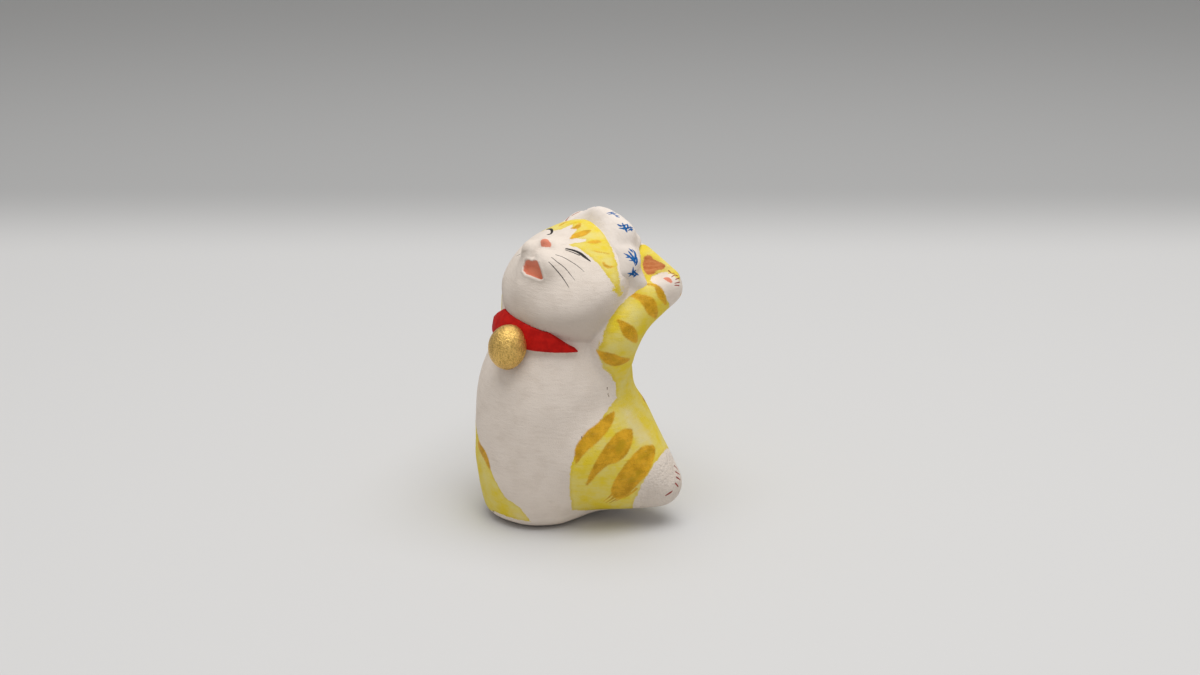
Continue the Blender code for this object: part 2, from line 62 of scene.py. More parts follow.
class Shade:
    """One output of a material's nodes. Arithmetic on it adds Math nodes."""

    def __init__(self, tree, socket=None):
        self.tree = tree
        self.socket = socket

    def node(self, kind, settings, inputs, output=0):
        """Adds a node: its settings first, then the values or links of its sockets."""
        made = self.tree.nodes.new(kind)
        for name, value in settings.items():
            setattr(made, name, value)
        for name, value in inputs.items():
            if isinstance(value, Shade):
                self.tree.links.new(value.socket, made.inputs[name])
            else:
                made.inputs[name].default_value = value
        return Shade(self.tree, made.outputs[output])

    def maths(self, operation, *values):
        return self.node("ShaderNodeMath", {"operation": operation}, dict(enumerate(values)))

    def __add__(self, other):
        return self.maths("ADD", self, other)

    __radd__ = __add__

    def __sub__(self, other):
        return self.maths("SUBTRACT", self, other)

    def __rsub__(self, other):
        return self.maths("SUBTRACT", other, self)

    def __mul__(self, other):
        return self.maths("MULTIPLY", self, other)

    __rmul__ = __mul__

    def least(self, other):
        return self.maths("MINIMUM", self, other)

    def most(self, other):
        return self.maths("MAXIMUM", self, other)

    def vector(self, operation, other, output=0):
        """Vector Math on this vector and another."""
        return self.node("ShaderNodeVectorMath", {"operation": operation}, {0: self, 1: other}, output)

    def step(self, start, end):
        """Goes smoothly from 0 at the start to 1 at the end, which may be the lower of the two."""
        return self.node(
            "ShaderNodeMapRange",
            {"interpolation_type": "SMOOTHSTEP"},
            {"Value": self, "From Min": start, "From Max": end},
        )

    def blend(self, under, over):
        """Colour that goes from under, where this is 0, to over, where this is 1."""
        return self.node("ShaderNodeMix", {"data_type": "RGBA"}, {0: self, 6: under, 7: over}, 2)

    def clouds(self, size, detail=2.0, roughness=0.5):
        """Cloudy pattern from 0 to 1 on these coordinates. A cloud is about as large as the size."""
        return self.node(
            "ShaderNodeTexNoise",
            {},
            {"Vector": self, "Scale": 1.0 / size, "Detail": detail, "Roughness": roughness},
        )

    def held(self, name, output="Fac"):
        """A value that the mesh holds under that name."""
        return self.node("ShaderNodeAttribute", {"attribute_name": name}, {}, output)

    def feed(self, shader, name):
        self.tree.links.new(self.socket, shader.inputs[name])

    def emboss(self, shader, depth):
        """Raises the surface by the depth in millimetres where this is 1."""
        bump = self.node("ShaderNodeBump", {}, {"Strength": 1.0, "Distance": depth * MM, "Height": self})
        bump.feed(shader, "Normal")


def new_look(name):
    """A material, its shader, and the piece's own coordinates in millimetres."""
    look = bpy.data.materials.new(name)
    look.use_nodes = True
    start = Shade(look.node_tree)
    metres = start.node("ShaderNodeTexCoord", {}, {}, "Object")
    shader = look.node_tree.nodes["Principled BSDF"]
    return look, shader, metres.vector("MULTIPLY", (1000.0, 1000.0, 1000.0))


clay_look, clay_shader, spot = new_look("bare_clay")
grit = spot.clouds(GRIT_SIZE, 3.0, 0.7)
patches = spot.clouds(PATCH_SIZE, 3.0, 0.6)
flat_spot = spot.vector("MULTIPLY", (1.0, 1.0, 0.0))
from_middle = flat_spot.vector("LENGTH", (0.0, 0.0, 0.0), "Value")
reach = from_middle + SMEAR_WANDER * (patches - 0.5)
smear = reach.step(*SMEAR_REACH) * patches.step(0.38, 0.56)
clay_tone = (0.65 * patches + 0.35 * grit).step(0.3, 0.7).blend(CLAY_DARK, CLAY_BUFF)
(SMEAR_COVER * smear).blend(clay_tone, COAT_SMEAR).feed(clay_shader, "Base Color")
(0.95 - 0.12 * smear).feed(clay_shader, "Roughness")
(0.6 * grit + 0.4 * patches).emboss(clay_shader, CLAY_RELIEF)
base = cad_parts["base_disc"]
base.data.materials.clear()
base.data.materials.append(clay_look)

# The figure: torso, head, arms, kicked leg, bob tail and ears are pressed or rolled from clay, luted
# together with slip and fired, and then all brushed over with one white ground coat of shell powder
# and glue. The coat hides every joint, so the finished figure has a single skin with soft creases.

LIMBS = {
    "body": ("body_front_shell", "body_back_shell"),
    "head": ("head_front_shell", "head_back_shell"),
    "left_arm": ("left_arm",),
    "right_arm": ("right_arm",),
    "left_leg": ("left_leg",),
    "tail": ("tail",),
    "left_ear": ("left_ear",),
    "right_ear": ("right_ear",),
}
SLIP = 0.2 * MM
COAT_GRAIN = 0.39 * MM
CORE_INSET = 2.1 * MM
DISC_ROOM = 3.4 * MM
COAT_SHRINK = 0.06 * MM
HAND_UNEVEN = 0.16 * MM
HAND_REACH = 5.0 * MM
RIM_HEIGHT = 2.4 * MM
RIM_TUCK = 0.18
WELD = 1e-6
RUB = 0.5
HAUNCH_BANDS = ((1.6 * MM, 60), (3.2 * MM, 50), (4.6 * MM, 25))
HAUNCH_REACH = 2.5 * MM
# Pushes of a thumb into the soft clay: place, move and reach in mm
CLAY_PUSHES = {
    "left_arm": (
        ((18.1, 17.1, 48.2), (-0.3, 0.0, 1.2), 6.5),
        ((17.0, 16.0, 52.8), (0.35, -0.3, -2.0), 2.8),
    ),
    "right_arm": (((-14.6, 23.6, 52.3), (0.9, 1.0, 0.35), 6.5),),
    "left_ear": (((14.0, 18.0, 55.5), (-0.18, -0.4, -0.38), 5.0),),
}
HEAD_MIDDLE = (1.6 * MM, 5.9 * MM, 49.1 * MM)
HEAD_TURN = math.radians(-3.0)
HEAD_TIP = math.radians(35.0)
HEAD_COCK = math.radians(-5.0)
head_place = (
    Matrix.Translation(HEAD_MIDDLE)
    @ Matrix.Rotation(HEAD_TURN, 4, "Z")
    @ Matrix.Rotation(HEAD_TIP, 4, "X")
    @ Matrix.Rotation(HEAD_COCK, 4, "Z")
)


def clay_of(*nodes):
    """Merged copy of some CAD pieces, as they were pushed while the clay was soft."""
    clay = bmesh.new()
    for node in nodes:
        clay.from_mesh(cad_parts[node].data)
        for thumb, push, reach_out in CLAY_PUSHES.get(node, ()):
            for vert in clay.verts:
                near = math.exp(-((vert.co / MM - Vector(thumb)).length / reach_out) ** 2)
                vert.co += Vector(push) * (near * MM)
    bmesh.ops.remove_doubles(clay, verts=clay.verts, dist=WELD)
    clay.normal_update()
    return clay


def core_of(nodes):
    """Clay that fills a pair of shells: their convex hull, drawn into the wall, above the base disc."""
    core = bmesh.new()
    for node in nodes:
        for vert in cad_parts[node].data.vertices:
            core.verts.new(vert.co)
    bmesh.ops.remove_doubles(core, verts=core.verts, dist=WELD)
    bmesh.ops.convex_hull(core, input=core.verts)
    loose = [vert for vert in core.verts if not vert.link_faces]
    bmesh.ops.delete(core, geom=loose, context="VERTS")
    bmesh.ops.recalc_face_normals(core, faces=core.faces)
    core.normal_update()
    for vert in core.verts:
        vert.co -= vert.normal * CORE_INSET
        vert.co.z = max(vert.co.z, DISC_ROOM)
    return core


def mesh_of(shape, name):
    """Ends a bmesh as a mesh of that name."""
    mesh = bpy.data.meshes.new(name)
    shape.to_mesh(mesh)
    shape.free()
    return mesh


def finished(shape, name):
    """Ends a bmesh as a smooth piece of that name."""
    made = bpy.data.objects.new(name, mesh_of(shape, name))
    bpy.context.scene.collection.objects.link(made)
    made.data.shade_smooth()
    return made


def remeshed(mesh, grain, name):
    """One closed skin round everything in the mesh, with faces about as large as the grain."""
    lump = bpy.data.objects.new(name, mesh)
    bpy.context.scene.collection.objects.link(lump)
    skin = lump.modifiers.new("skin", "REMESH")
    skin.mode = "VOXEL"
    skin.voxel_size = grain
    bpy.context.view_layer.update()
    seen = lump.evaluated_get(bpy.context.evaluated_depsgraph_get())
    made = bpy.data.meshes.new_from_object(seen)
    bpy.data.objects.remove(lump)
    return made


def soften(shape, verts, times):
    """Rubs the given points down towards their neighbours."""
    for _ in range(times):
        bmesh.ops.smooth_vert(
            shape, verts=verts, factor=RUB, use_axis_x=True, use_axis_y=True, use_axis_z=True
        )


def picked(verts, marks):
    """The points that are marked."""
    return [vert for vert, marked in zip(verts, marks) if marked]


lump = bmesh.new()
for nodes in LIMBS.values():
    for node in nodes:
        clay = clay_of(node)
        for vert in clay.verts:
            vert.co += vert.normal * SLIP
        lump.from_mesh(mesh_of(clay, node + "_clay"))
for limb in ("body", "head"):
    lump.from_mesh(mesh_of(core_of(LIMBS[limb]), limb + "_core"))

figure = bmesh.new()
figure.from_mesh(remeshed(mesh_of(lump, "lump"), COAT_GRAIN, "lump"))
soften(figure, figure.verts, 8)

trees = {limb: BVHTree.FromBMesh(clay_of(*nodes)) for limb, nodes in LIMBS.items()}


def far_from(limb, verts):
    """Distance of each point from the surface of one clay piece."""
    return np.array([trees[limb].find_nearest(vert.co)[3] for vert in verts])


# The haunch flows into the belly with no crease, so its joint is rubbed out over a wide band
all_verts = list(figure.verts)
leg_far = far_from("left_leg", all_verts)
body_far = far_from("body", all_verts)
for band, times in HAUNCH_BANDS:
    near = np.abs(leg_far - body_far) < band
    near &= np.minimum(leg_far, body_far) < HAUNCH_REACH
    soften(figure, picked(all_verts, near), times)

# The face is worked finer than the rest: its faces are split once, and those round the mouth again.
# Places on the face are (to the cat's left, towards the crown) in mm from the middle of the head.
FACE_MIDDLE = (0.8, -1.5)
FACE_REACH = 8.5
FACE_FRONT = 3.0
MUZZLE_START = (2.0, 4.0)
MOUTH_MIDDLE = (1.3, -5.0)
MOUTH_REACH = 4.6
PRESSED_MOUTH = (0.0, -5.3)
PRESSED_REACH = (3.3, 2.8)
FILL_RING = (1.0, 1.7)
FILL_EDGE = (1.25, 0.9)
NOSE_PLACE = (0.9, 0.5)
NOSE_SPREAD = (1.4, 1.05)
NOSE_LIFT = 0.95
CLEFT_PLACE = 0.9
CLEFT_SLANT = 0.02
CLEFT_WIDTH = 0.55
CLEFT_DEPTH = 0.4
CLEFT_FOOT = (-4.4, -3.2)
CLEFT_TOP = (0.2, -0.8)
# Muzzle and whisker pads: place, spread and height
PADS = ((0.8, -1.2, 4.2, 0.5), (4.8, -2.6, 2.5, 1.25), (-2.3, -1.8, 2.1, 1.25))
MOUTH_OPENING = (
    (-0.7, -4.6), (0.2, -4.2), (1.6, -3.8), (2.9, -3.6), (4.0, -4.4), (4.8, -5.15),
    (4.5, -5.5), (3.0, -6.0), (0.9, -6.4), (-0.4, -6.1), (-0.8, -5.5),
)
MOUTH_DEPTH = 1.15
MOUTH_WALL = (0.25, -0.55)
MOUTH_SHALLOW = 0.7
MOUTH_SLOPE = (-6.4, -4.4)
LIP_SWELL = 0.12
LIP_AWAY = 0.4
LIP_WIDTH = 0.3
LIP_REACH = 1.5


def face_places(points):
    """Places of some points on the head, in mm: to the cat's left, to the crown, out of the face."""
    turned = np.array(head_place.inverted())
    return (np.asarray(points) @ turned[:3, :3].T + turned[:3, 3]) / MM


def points_of(shape):
    return np.array([vert.co for vert in shape.verts])


def outline_gap(across, up, outline):
    """Distance from an outline drawn on a plane, below 0 inside it."""
    gap = np.full(len(across), 1e9)
    inside = np.zeros(len(across), bool)
    for (ax, ay), (bx, by) in zip(outline, outline[1:] + outline[:1]):
        run_x, run_y = bx - ax, by - ay
        share = ((across - ax) * run_x + (up - ay) * run_y) / (run_x**2 + run_y**2)
        share = np.clip(share, 0.0, 1.0)
        gap = np.minimum(gap, np.hypot(across - ax - share * run_x, up - ay - share * run_y))
        crossed = (ay > up) != (by > up)
        if by != ay:
            inside ^= crossed & (across < ax + (up - ay) * run_x / run_y)
    return np.where(inside, -gap, gap)


def smooth_share(value, start, end):
    """Goes smoothly from 0 at the start to 1 at the end."""
    share = np.clip((value - start) / (end - start), 0.0, 1.0)
    return share * share * (3.0 - 2.0 * share)


def face_patch(middle, reach_out):
    """Points of the figure within reach of a place on its face."""
    across, up, out = face_places(points_of(figure)).T
    near = np.hypot(across - middle[0], up - middle[1]) < reach_out
    return picked(figure.verts, near & (out > FACE_FRONT))


for middle, reach_out in ((FACE_MIDDLE, FACE_REACH), (MOUTH_MIDDLE, MOUTH_REACH)):
    fine = set(face_patch(middle, reach_out))
    edges = [edge for edge in figure.edges if edge.verts[0] in fine and edge.verts[1] in fine]
    bmesh.ops.subdivide_edges(figure, edges=edges, cuts=1, use_grid_fill=True)
    soften(figure, face_patch(middle, reach_out), 3)

# The mouth pressed by the mould is filled level with the muzzle, and then cut again with a tool
figure.normal_update()
place = face_places(points_of(figure))
across, up, out = place.T
ring_across = (across - PRESSED_MOUTH[0]) / PRESSED_REACH[0]
ring = np.hypot(ring_across, (up - PRESSED_MOUTH[1]) / PRESSED_REACH[1])
level = np.stack((np.ones(len(ring)), across, up, across**2, across * up, up**2), axis=1)
round_it = (ring > FILL_RING[0]) & (ring < FILL_RING[1]) & (out > FACE_FRONT)
fit = np.linalg.lstsq(level[round_it], out[round_it], rcond=None)[0]
filled = (level @ fit - out) * smooth_share(ring, *FILL_EDGE) * (out > FACE_FRONT)
out_of_face = head_place.to_3x3() @ Vector((0.0, 0.0, 1.0))
for vert, rise in zip(figure.verts, filled):
    vert.co += out_of_face * (rise * MM)
figure.normal_update()
place = face_places(points_of(figure))
across, up, out = place.T
front = smooth_share(out, *MUZZLE_START)
lift = np.zeros(len(place))
for pad_across, pad_up, spread, pad_height in PADS:
    lift += pad_height * np.exp(-((across - pad_across) ** 2 + (up - pad_up) ** 2) / spread**2)
nose_across, nose_up = across - NOSE_PLACE[0], up - NOSE_PLACE[1]
lift += NOSE_LIFT * np.exp(-((nose_across / NOSE_SPREAD[0]) ** 2) - (nose_up / NOSE_SPREAD[1]) ** 2)
cleft = np.abs(across - CLEFT_PLACE - CLEFT_SLANT * up)
groove = CLEFT_DEPTH * np.exp(-((cleft / CLEFT_WIDTH) ** 2))
lift -= groove * smooth_share(up, *CLEFT_FOOT) * smooth_share(up, *CLEFT_TOP)
mouth_gap = outline_gap(across, up, MOUTH_OPENING)
lift += LIP_SWELL * np.exp(-(((mouth_gap - LIP_AWAY) / LIP_WIDTH) ** 2))
mouth_floor = MOUTH_SHALLOW + (1.0 - MOUTH_SHALLOW) * smooth_share(up, *MOUTH_SLOPE)
dig = MOUTH_DEPTH * smooth_share(mouth_gap, *MOUTH_WALL) * mouth_floor
for vert, rise, deep in zip(figure.verts, lift * front, dig * front):
    uneven = noise.noise(vert.co / HAND_REACH) * HAND_UNEVEN
    vert.co += vert.normal * (rise * MM + uneven - COAT_SHRINK) - out_of_face * (deep * MM)
    tuck = 1.0 - RIM_TUCK * max(0.0, 1.0 - vert.co.z / RIM_HEIGHT) ** 2
    vert.co = (vert.co.x * tuck, vert.co.y * tuck, max(vert.co.z, 0.0))
soften(figure, picked(figure.verts, (mouth_gap < LIP_REACH) & (out > FACE_FRONT)), 3)
figure.normal_update()
skin = BVHTree.FromBMesh(figure)

# Paint on the coat is held as distances from the edge of each colour, in mm, below 0 where it covers.
# On the body a place is (turn from the middle of the back towards the cat's left, in degrees, height).
# A brush stroke lists places and half widths.
LEAN = 5.6
LEAN_START = 4.0
LEAN_END = 38.5
WHEEL_RADIUS = 15.0
STROKE_STEPS = 5
INK_STEPS = 2
BRUSH_TIP = 0.05
CAST_FROM_SIDE = 60.0 * MM
CAST_FROM_FACE = 40.0 * MM
JOINT_SLOPE = 0.7
ARM_LAP = 0.9
LIP_LAP = 0.05
NAPE_FRONT = -2.0
CAP_BACK = -1.0
EAR_BACK = -6.0
MOUTH_SHADE = (0.1, -0.6)
PAINTED_SHADE_EDGE = (0.0, 1.5)
# Added to how far a point faces up where it lies off the head, so that no painted shade is drawn there
NO_PAINTED_SHADE = 2.0

FLANK_WASH = (
    (97, 35.1), (84, 30.7), (81, 27.4), (91, 25.9), (103, 22.8), (109, 20.5), (112, 17.5), (113, 14.5),
    (110, 10.6), (100, 4.4), (83, 3.4), (66, 3.0), (40, 3.2), (22, 6.0), (4, 8.4), (-18, 9.6),
    (-38, 13.0), (-50, 19.0), (-52, 26.0), (-44, 33.0), (-26, 37.0), (0, 38.4), (30, 38.0), (60, 37.0),
    (84, 36.6),
)
LEFT_ARM_WASH = (
    (97, 34.6), (102.5, 38.2), (100, 40.7), (97, 43.1), (93, 45.4), (86, 47.3), (80, 48.3), (74, 49.6),
    (68, 53.0), (48, 53.0), (36, 47.0), (44, 38.0), (66, 33.0), (84, 30.7),
)
RIGHT_ARM_WASH = (
    (-97, 35.0), (-102, 38.0), (-99, 42.0), (-92, 46.0), (-82, 50.0), (-66, 54.0), (-40, 57.0),
    (-22, 52.0), (-36, 40.0), (-62, 33.0), (-84, 31.0),
)
RIGHT_HIP_WASH = (
    (140, 2.2), (150, 5.4), (165, 7.3), (181, 12.3), (202, 16.9), (220, 21.0), (240, 24.6), (262, 25.6),
    (280, 22.6), (290, 16.0), (288, 8.0), (270, 3.0), (240, 2.2), (202, 1.6), (182, 2.6), (151, 2.4),
)
NAPE_WASH = (
    (50, 49), (36, 44.5), (14, 42.6), (-12, 42.4), (-34, 44), (-50, 50), (-44, 60), (0, 66), (46, 60),
)
CAP_WASH = (
    (-15.6, 2.4), (-14.0, 3.6), (-11.5, 4.6), (-9.0, 5.1), (-7.0, 5.3), (-5.2, 5.2), (-3.7, 6.0),
    (-3.5, 7.1), (-3.1, 8.5), (-1.8, 7.6), (-0.8, 8.2), (0.0, 7.6), (0.7, 6.2), (1.7, 5.2), (2.2, 5.6),
    (4.2, 6.8), (4.9, 6.5), (3.7, 4.8), (3.2, 3.5), (4.8, 4.1), (7.5, 4.1), (10.8, 3.9), (13.3, 3.4),
    (14.6, 2.8), (15.0, 1.6), (15.0, 2.6), (14.85, 3.3), (14.6, 4.2), (14.1, 4.9), (13.2, 5.8),
    (12.2, 6.7), (10.6, 7.8), (7.5, 9.5), (4.7, 10.5), (2.0, 11.5), (-0.3, 12.0), (-4.0, 12.0),
    (-7.5, 10.6), (-10.5, 8.9), (-13.0, 6.9), (-14.8, 4.6),
)
EAR_WASH = (
    (8.0, 8.0), (13.2, 9.9), (13.8, 10.1), (13.5, 11.1), (14.0, 12.6), (14.7, 13.7), (15.2, 15.0),
    (15.2, 18.0), (8.0, 18.0),
)
# Places where the yellow wash is thinner and paler: a real thin wash, and on the left flank also painted
# light where the flank is lit
THIN_WASHES_AND_LIGHT = (
    ((66, 19.0, 1.5), (71, 20.5, 2.2), (76, 24.5, 1.2)),
    ((160, 4.0, 0.8), (148, 3.2, 1.2)),
    ((30, 14.0, 2.0), (12, 13.0, 2.0)),
    ((-30, 27.0, 2.0), (-36, 20.0, 2.0)),
)
KICK = (0.824, 0.402, -0.400)
SOCK_START = 17.5
LEFT_REACH = (0.165, 0.848, 0.505)
LEFT_MITTEN = 40.4
RIGHT_REACH = (-0.05, 0.91, 0.41)
RIGHT_MITTEN = 41.2

BODY_STROKES = (
    # Left flank, from the belly up to the back
    (
        (110, 16.3, 0.2), (109, 18.8, 1.1), (104, 21.1, 1.55),
        (98, 22.6, 1.45), (92, 24.0, 1.15), (86, 25.2, 0.35),
    ),
    (
        (100, 11.6, 0.3), (98, 14.5, 0.9), (94, 17.0, 1.5),
        (88, 18.5, 2.4), (83, 20.2, 2.0), (78, 21.3, 0.7),
    ),
    (
        (80.5, 8.8, 1.5), (81, 10.0, 2.1), (80, 11.9, 2.5),
        (77, 14.0, 2.7), (72, 16.0, 2.2), (66.5, 17.1, 0.8),
    ),
    # Haunch and back, on both sides of the spine
    ((42, 8.0, 0.6), (40, 13.0, 1.9), (34, 17.5, 1.6), (28, 20.0, 0.5)),
    ((33, 31.2, 0.4), (27, 31.8, 1.2), (20, 33.2, 1.3), (12, 35.0, 0.5)),
    ((46, 23.6, 0.5), (34, 24.8, 1.6), (20, 26.8, 1.5), (6, 29.2, 0.5)),
    ((-40, 30.2, 0.5), (-26, 31.8, 1.5), (-12, 34.0, 1.2), (-3, 36.0, 0.5)),
    ((-44, 22.2, 0.5), (-28, 23.6, 1.6), (-13, 26.0, 1.4), (-4, 28.4, 0.5)),
    ((-30, 15.0, 0.5), (-16, 16.6, 1.4), (-2, 19.6, 1.3), (8, 22.4, 0.5)),
    # Right hip
    ((202, 15.9, 0.9), (190, 14.8, 1.0), (183, 12.8, 0.5)),
    ((226, 16.4, 0.5), (232, 18.2, 1.4), (244, 20.4, 1.5), (258, 22.2, 0.5)),
    ((236, 8.4, 0.6), (244, 12.4, 1.9), (256, 15.0, 1.7), (270, 17.8, 0.5)),
    ((262, 4.6, 1.2), (266, 8.4, 1.9), (276, 11.6, 1.4), (284, 14.6, 0.5)),
)
ARM_STROKES = (
    ((68, 50.8, 0.3), (69, 49.8, 0.75), (69, 48.6, 0.75), (67, 46.9, 0.35)),
    ((76.5, 48.9, 0.55), (75, 47.6, 1.35), (74, 46.2, 1.3), (71, 44.3, 0.45)),
    ((90.5, 44.6, 0.3), (88, 42.9, 1.3), (85.5, 41.6, 1.2), (82.5, 40.2, 0.5)),
    ((102, 38.2, 0.4), (100, 37.6, 0.8), (96, 36.8, 1.5), (91, 36.2, 1.3), (84, 36.1, 0.5)),
    ((58, 48.0, 0.3), (54, 46.2, 0.8), (52, 44.2, 0.3)),
    ((66, 44.0, 0.3), (60, 42.4, 0.9), (56, 40.6, 0.3)),
    ((74, 39.4, 0.3), (66, 38.6, 0.9), (58, 37.0, 0.3)),
    ((-50, 55.2, 0.6), (-54, 52.0, 1.2), (-54, 48.6, 0.9)),
    ((-72, 51.4, 0.7), (-70, 48.2, 1.5), (-64, 45.4, 1.2), (-54, 43.4, 0.5)),
    ((-92, 44.8, 0.8), (-86, 42.4, 1.5), (-76, 39.8, 1.3), (-64, 38.0, 0.5)),
    ((-102, 38.0, 0.7), (-95, 35.8, 1.4), (-84, 36.0, 1.2), (-72, 36.6, 0.5)),
)
NAPE_STROKES = (
    ((1, 57.0, 0.6), (1, 52.0, 1.3), (0, 46.0, 0.5)),
    ((25, 56.0, 0.5), (24, 51.6, 1.2), (20, 46.8, 0.4)),
    ((-24, 56.0, 0.5), (-23, 51.6, 1.2), (-19, 46.8, 0.4)),
)
FACE_STROKES = (
    ((-1.8, 7.6, 0.3), (-1.0, 8.3, 0.75), (-1.6, 9.0, 0.65), (-2.2, 9.7, 0.3)),
    ((-4.7, 7.0, 0.12), (-4.3, 8.4, 0.2), (-3.5, 9.4, 0.2), (-2.2, 10.0, 0.15)),
    ((1.7, 5.2, 0.35), (1.6, 6.3, 0.95), (2.0, 7.7, 1.05), (2.2, 9.2, 0.35)),
    ((5.3, 6.5, 0.2), (6.0, 7.5, 0.65), (6.6, 8.3, 0.3)),
    ((7.6, 5.5, 0.12), (8.6, 6.1, 0.22), (9.9, 7.2, 0.2)),
    ((10.9, 5.0, 0.2), (11.6, 4.6, 0.4), (12.2, 5.0, 0.3), (12.4, 5.8, 0.15)),
    ((-6.6, 9.0, 0.3), (-6.1, 7.9, 0.5), (-5.7, 7.0, 0.25)),
    ((-8.4, 6.2, 0.15), (-9.5, 6.8, 0.25), (-10.2, 7.6, 0.15)),
    ((-11.6, 5.6, 0.15), (-12.4, 5.3, 0.3), (-12.9, 6.2, 0.2)),
)
NOSE_PAINT = (
    (0.1, 0.1), (0.15, 0.55), (0.5, 0.95), (1.1, 1.25), (2.2, 1.0), (2.65, 0.3), (2.0, -0.4), (0.8, -0.7),
)
EAR_RED = (
    (11.2, 11.6), (10.6, 12.9), (10.6, 13.8), (10.9, 14.1), (11.5, 13.9), (13.8, 14.6), (14.2, 14.3),
    (14.2, 13.8), (13.4, 12.6), (13.4, 11.1), (13.5, 10.5), (12.9, 10.3), (12.1, 10.7),
)
PAW_PADS = (
    ((16.7, 11.8, -4.2, 0.3), (17.4, 12.05, -4.5, 0.55), (18.1, 12.1, -5.0, 0.3)),
)


def lean(height):
    """How far back the middle of the torso lies at a height in millimetres."""
    return LEAN * smooth_share(np.asarray(height, float), LEAN_START, LEAN_END)


def wheel_spot(turn, height):
    """Outermost point of the skin at that turn and height."""
    angle = math.radians(turn)
    outward = Vector((math.sin(angle), math.cos(angle), 0.0))
    axis = Vector((0.0, float(lean(height)), height)) * MM
    return skin.ray_cast(axis + outward * CAST_FROM_SIDE, -outward)[0] or axis


def face_spot(across, up):
    """Point of the skin in front of that place on the face."""
    start = head_place @ Vector((across * MM, up * MM, CAST_FROM_FACE))
    return skin.ray_cast(start, -out_of_face)[0]


def head_spot(across, up, out):
    """Point of the skin nearest to a place given on the head."""
    return skin.find_nearest(head_place @ (Vector((across, up, out)) * MM))[0]


def eased(line, steps):
    """A stroke's list of places, with more of them between on a smooth curve."""
    rows = np.array(line, float)
    rows = np.vstack((2 * rows[0] - rows[1], rows, 2 * rows[-1] - rows[-2]))
    made = []
    for a, b, c, d in zip(rows, rows[1:], rows[2:], rows[3:]):
        for share in np.arange(steps) / steps:
            curve = 2 * b + (c - a) * share + (2 * a - 5 * b + 4 * c - d) * share**2
            made.append(0.5 * (curve + (3 * b - a - 3 * c + d) * share**3))
    return made + [rows[-2]]


def painted(line, find):
    """A stroke on the skin: points and half widths in millimetres."""
    rows = eased(line, STROKE_STEPS)
    return [(np.array(find(*row[:-1])) / MM, max(row[-1], BRUSH_TIP)) for row in rows]


def stroke_gap(points, stroke):
    """Distance of points from the edge of one stroke, below 0 under the brush."""
    gap = np.full(len(points), 1e9)
    for (a, a_width), (b, b_width) in zip(stroke, stroke[1:]):
        run = b - a
        share = np.clip((points - a) @ run / max(run @ run, 1e-9), 0.0, 1.0)
        away = np.linalg.norm(points - a - share[:, None] * run, axis=1)
        gap = np.minimum(gap, away - a_width - share * (b_width - a_width))
    return gap


def strokes_gap(points, strokes):
    return np.min([stroke_gap(points, stroke) for stroke in strokes], axis=0)


points = points_of(figure) / MM
height = points[:, 2]
turn = np.degrees(np.arctan2(points[:, 0], points[:, 1] - lean(height)))


def wash_gap(outline):
    """Distance of every point from the edge of a wash that is drawn by turn and height."""
    middle = (max(row[0] for row in outline) + min(row[0] for row in outline)) / 2
    unrolled = (turn - middle + 180.0) % 360.0 - 180.0
    drawn = tuple((math.radians(row[0] - middle) * WHEEL_RADIUS, row[1]) for row in outline)
    return outline_gap(np.radians(unrolled) * WHEEL_RADIUS, height, drawn)


all_verts = list(figure.verts)
away = {limb: far_from(limb, all_verts) / MM for limb in LIMBS}


def off(*limbs):
    """How much nearer a point is to other pieces than to these, below 0 on these."""
    mine = np.min([away[limb] for limb in limbs], axis=0)
    others = np.min([away[limb] for limb in LIMBS if limb not in limbs], axis=0)
    return (mine - others) * JOINT_SLOPE


place = face_places(points * MM)
across, up, out = place.T
on_front = FACE_FRONT - out
off_head = off("head")
mitten = np.minimum(
    np.maximum(LEFT_MITTEN - points @ LEFT_REACH, off("left_arm")),
    np.maximum(RIGHT_MITTEN - points @ RIGHT_REACH, off("right_arm")),
)
sock = np.maximum(SOCK_START - points @ KICK, off("left_leg"))
yellow = np.min(
    [
        np.maximum(wash_gap(FLANK_WASH), -off_head),
        np.maximum(wash_gap(LEFT_ARM_WASH), off("left_arm", "body") - ARM_LAP),
        np.maximum(wash_gap(RIGHT_ARM_WASH), off("right_arm", "body")),
        wash_gap(RIGHT_HIP_WASH),
        np.maximum.reduce([wash_gap(NAPE_WASH), off_head, out - NAPE_FRONT]),
        np.maximum.reduce([outline_gap(across, up, CAP_WASH), off_head, CAP_BACK - out]),
        off("tail"),
        np.maximum(off("left_ear"), outline_gap(across, up, EAR_WASH)),
        np.maximum(off("right_ear"), outline_gap(-across, up, EAR_WASH)),
    ],
    axis=0,
)
yellow = np.maximum.reduce([yellow, -mitten, -sock])

body_brush = strokes_gap(points, [painted(line, wheel_spot) for line in BODY_STROKES])
arm_brush = strokes_gap(points, [painted(line, wheel_spot) for line in ARM_STROKES])
nape_brush = strokes_gap(points, [painted(line, wheel_spot) for line in NAPE_STROKES])
face_brush = strokes_gap(points, [painted(line, face_spot) for line in FACE_STROKES])
ochre = np.min(
    [
        body_brush,
        np.maximum(arm_brush, off("left_arm", "right_arm", "body")),
        np.maximum(nape_brush, off_head),
        np.maximum(face_brush, on_front),
    ],
    axis=0,
)

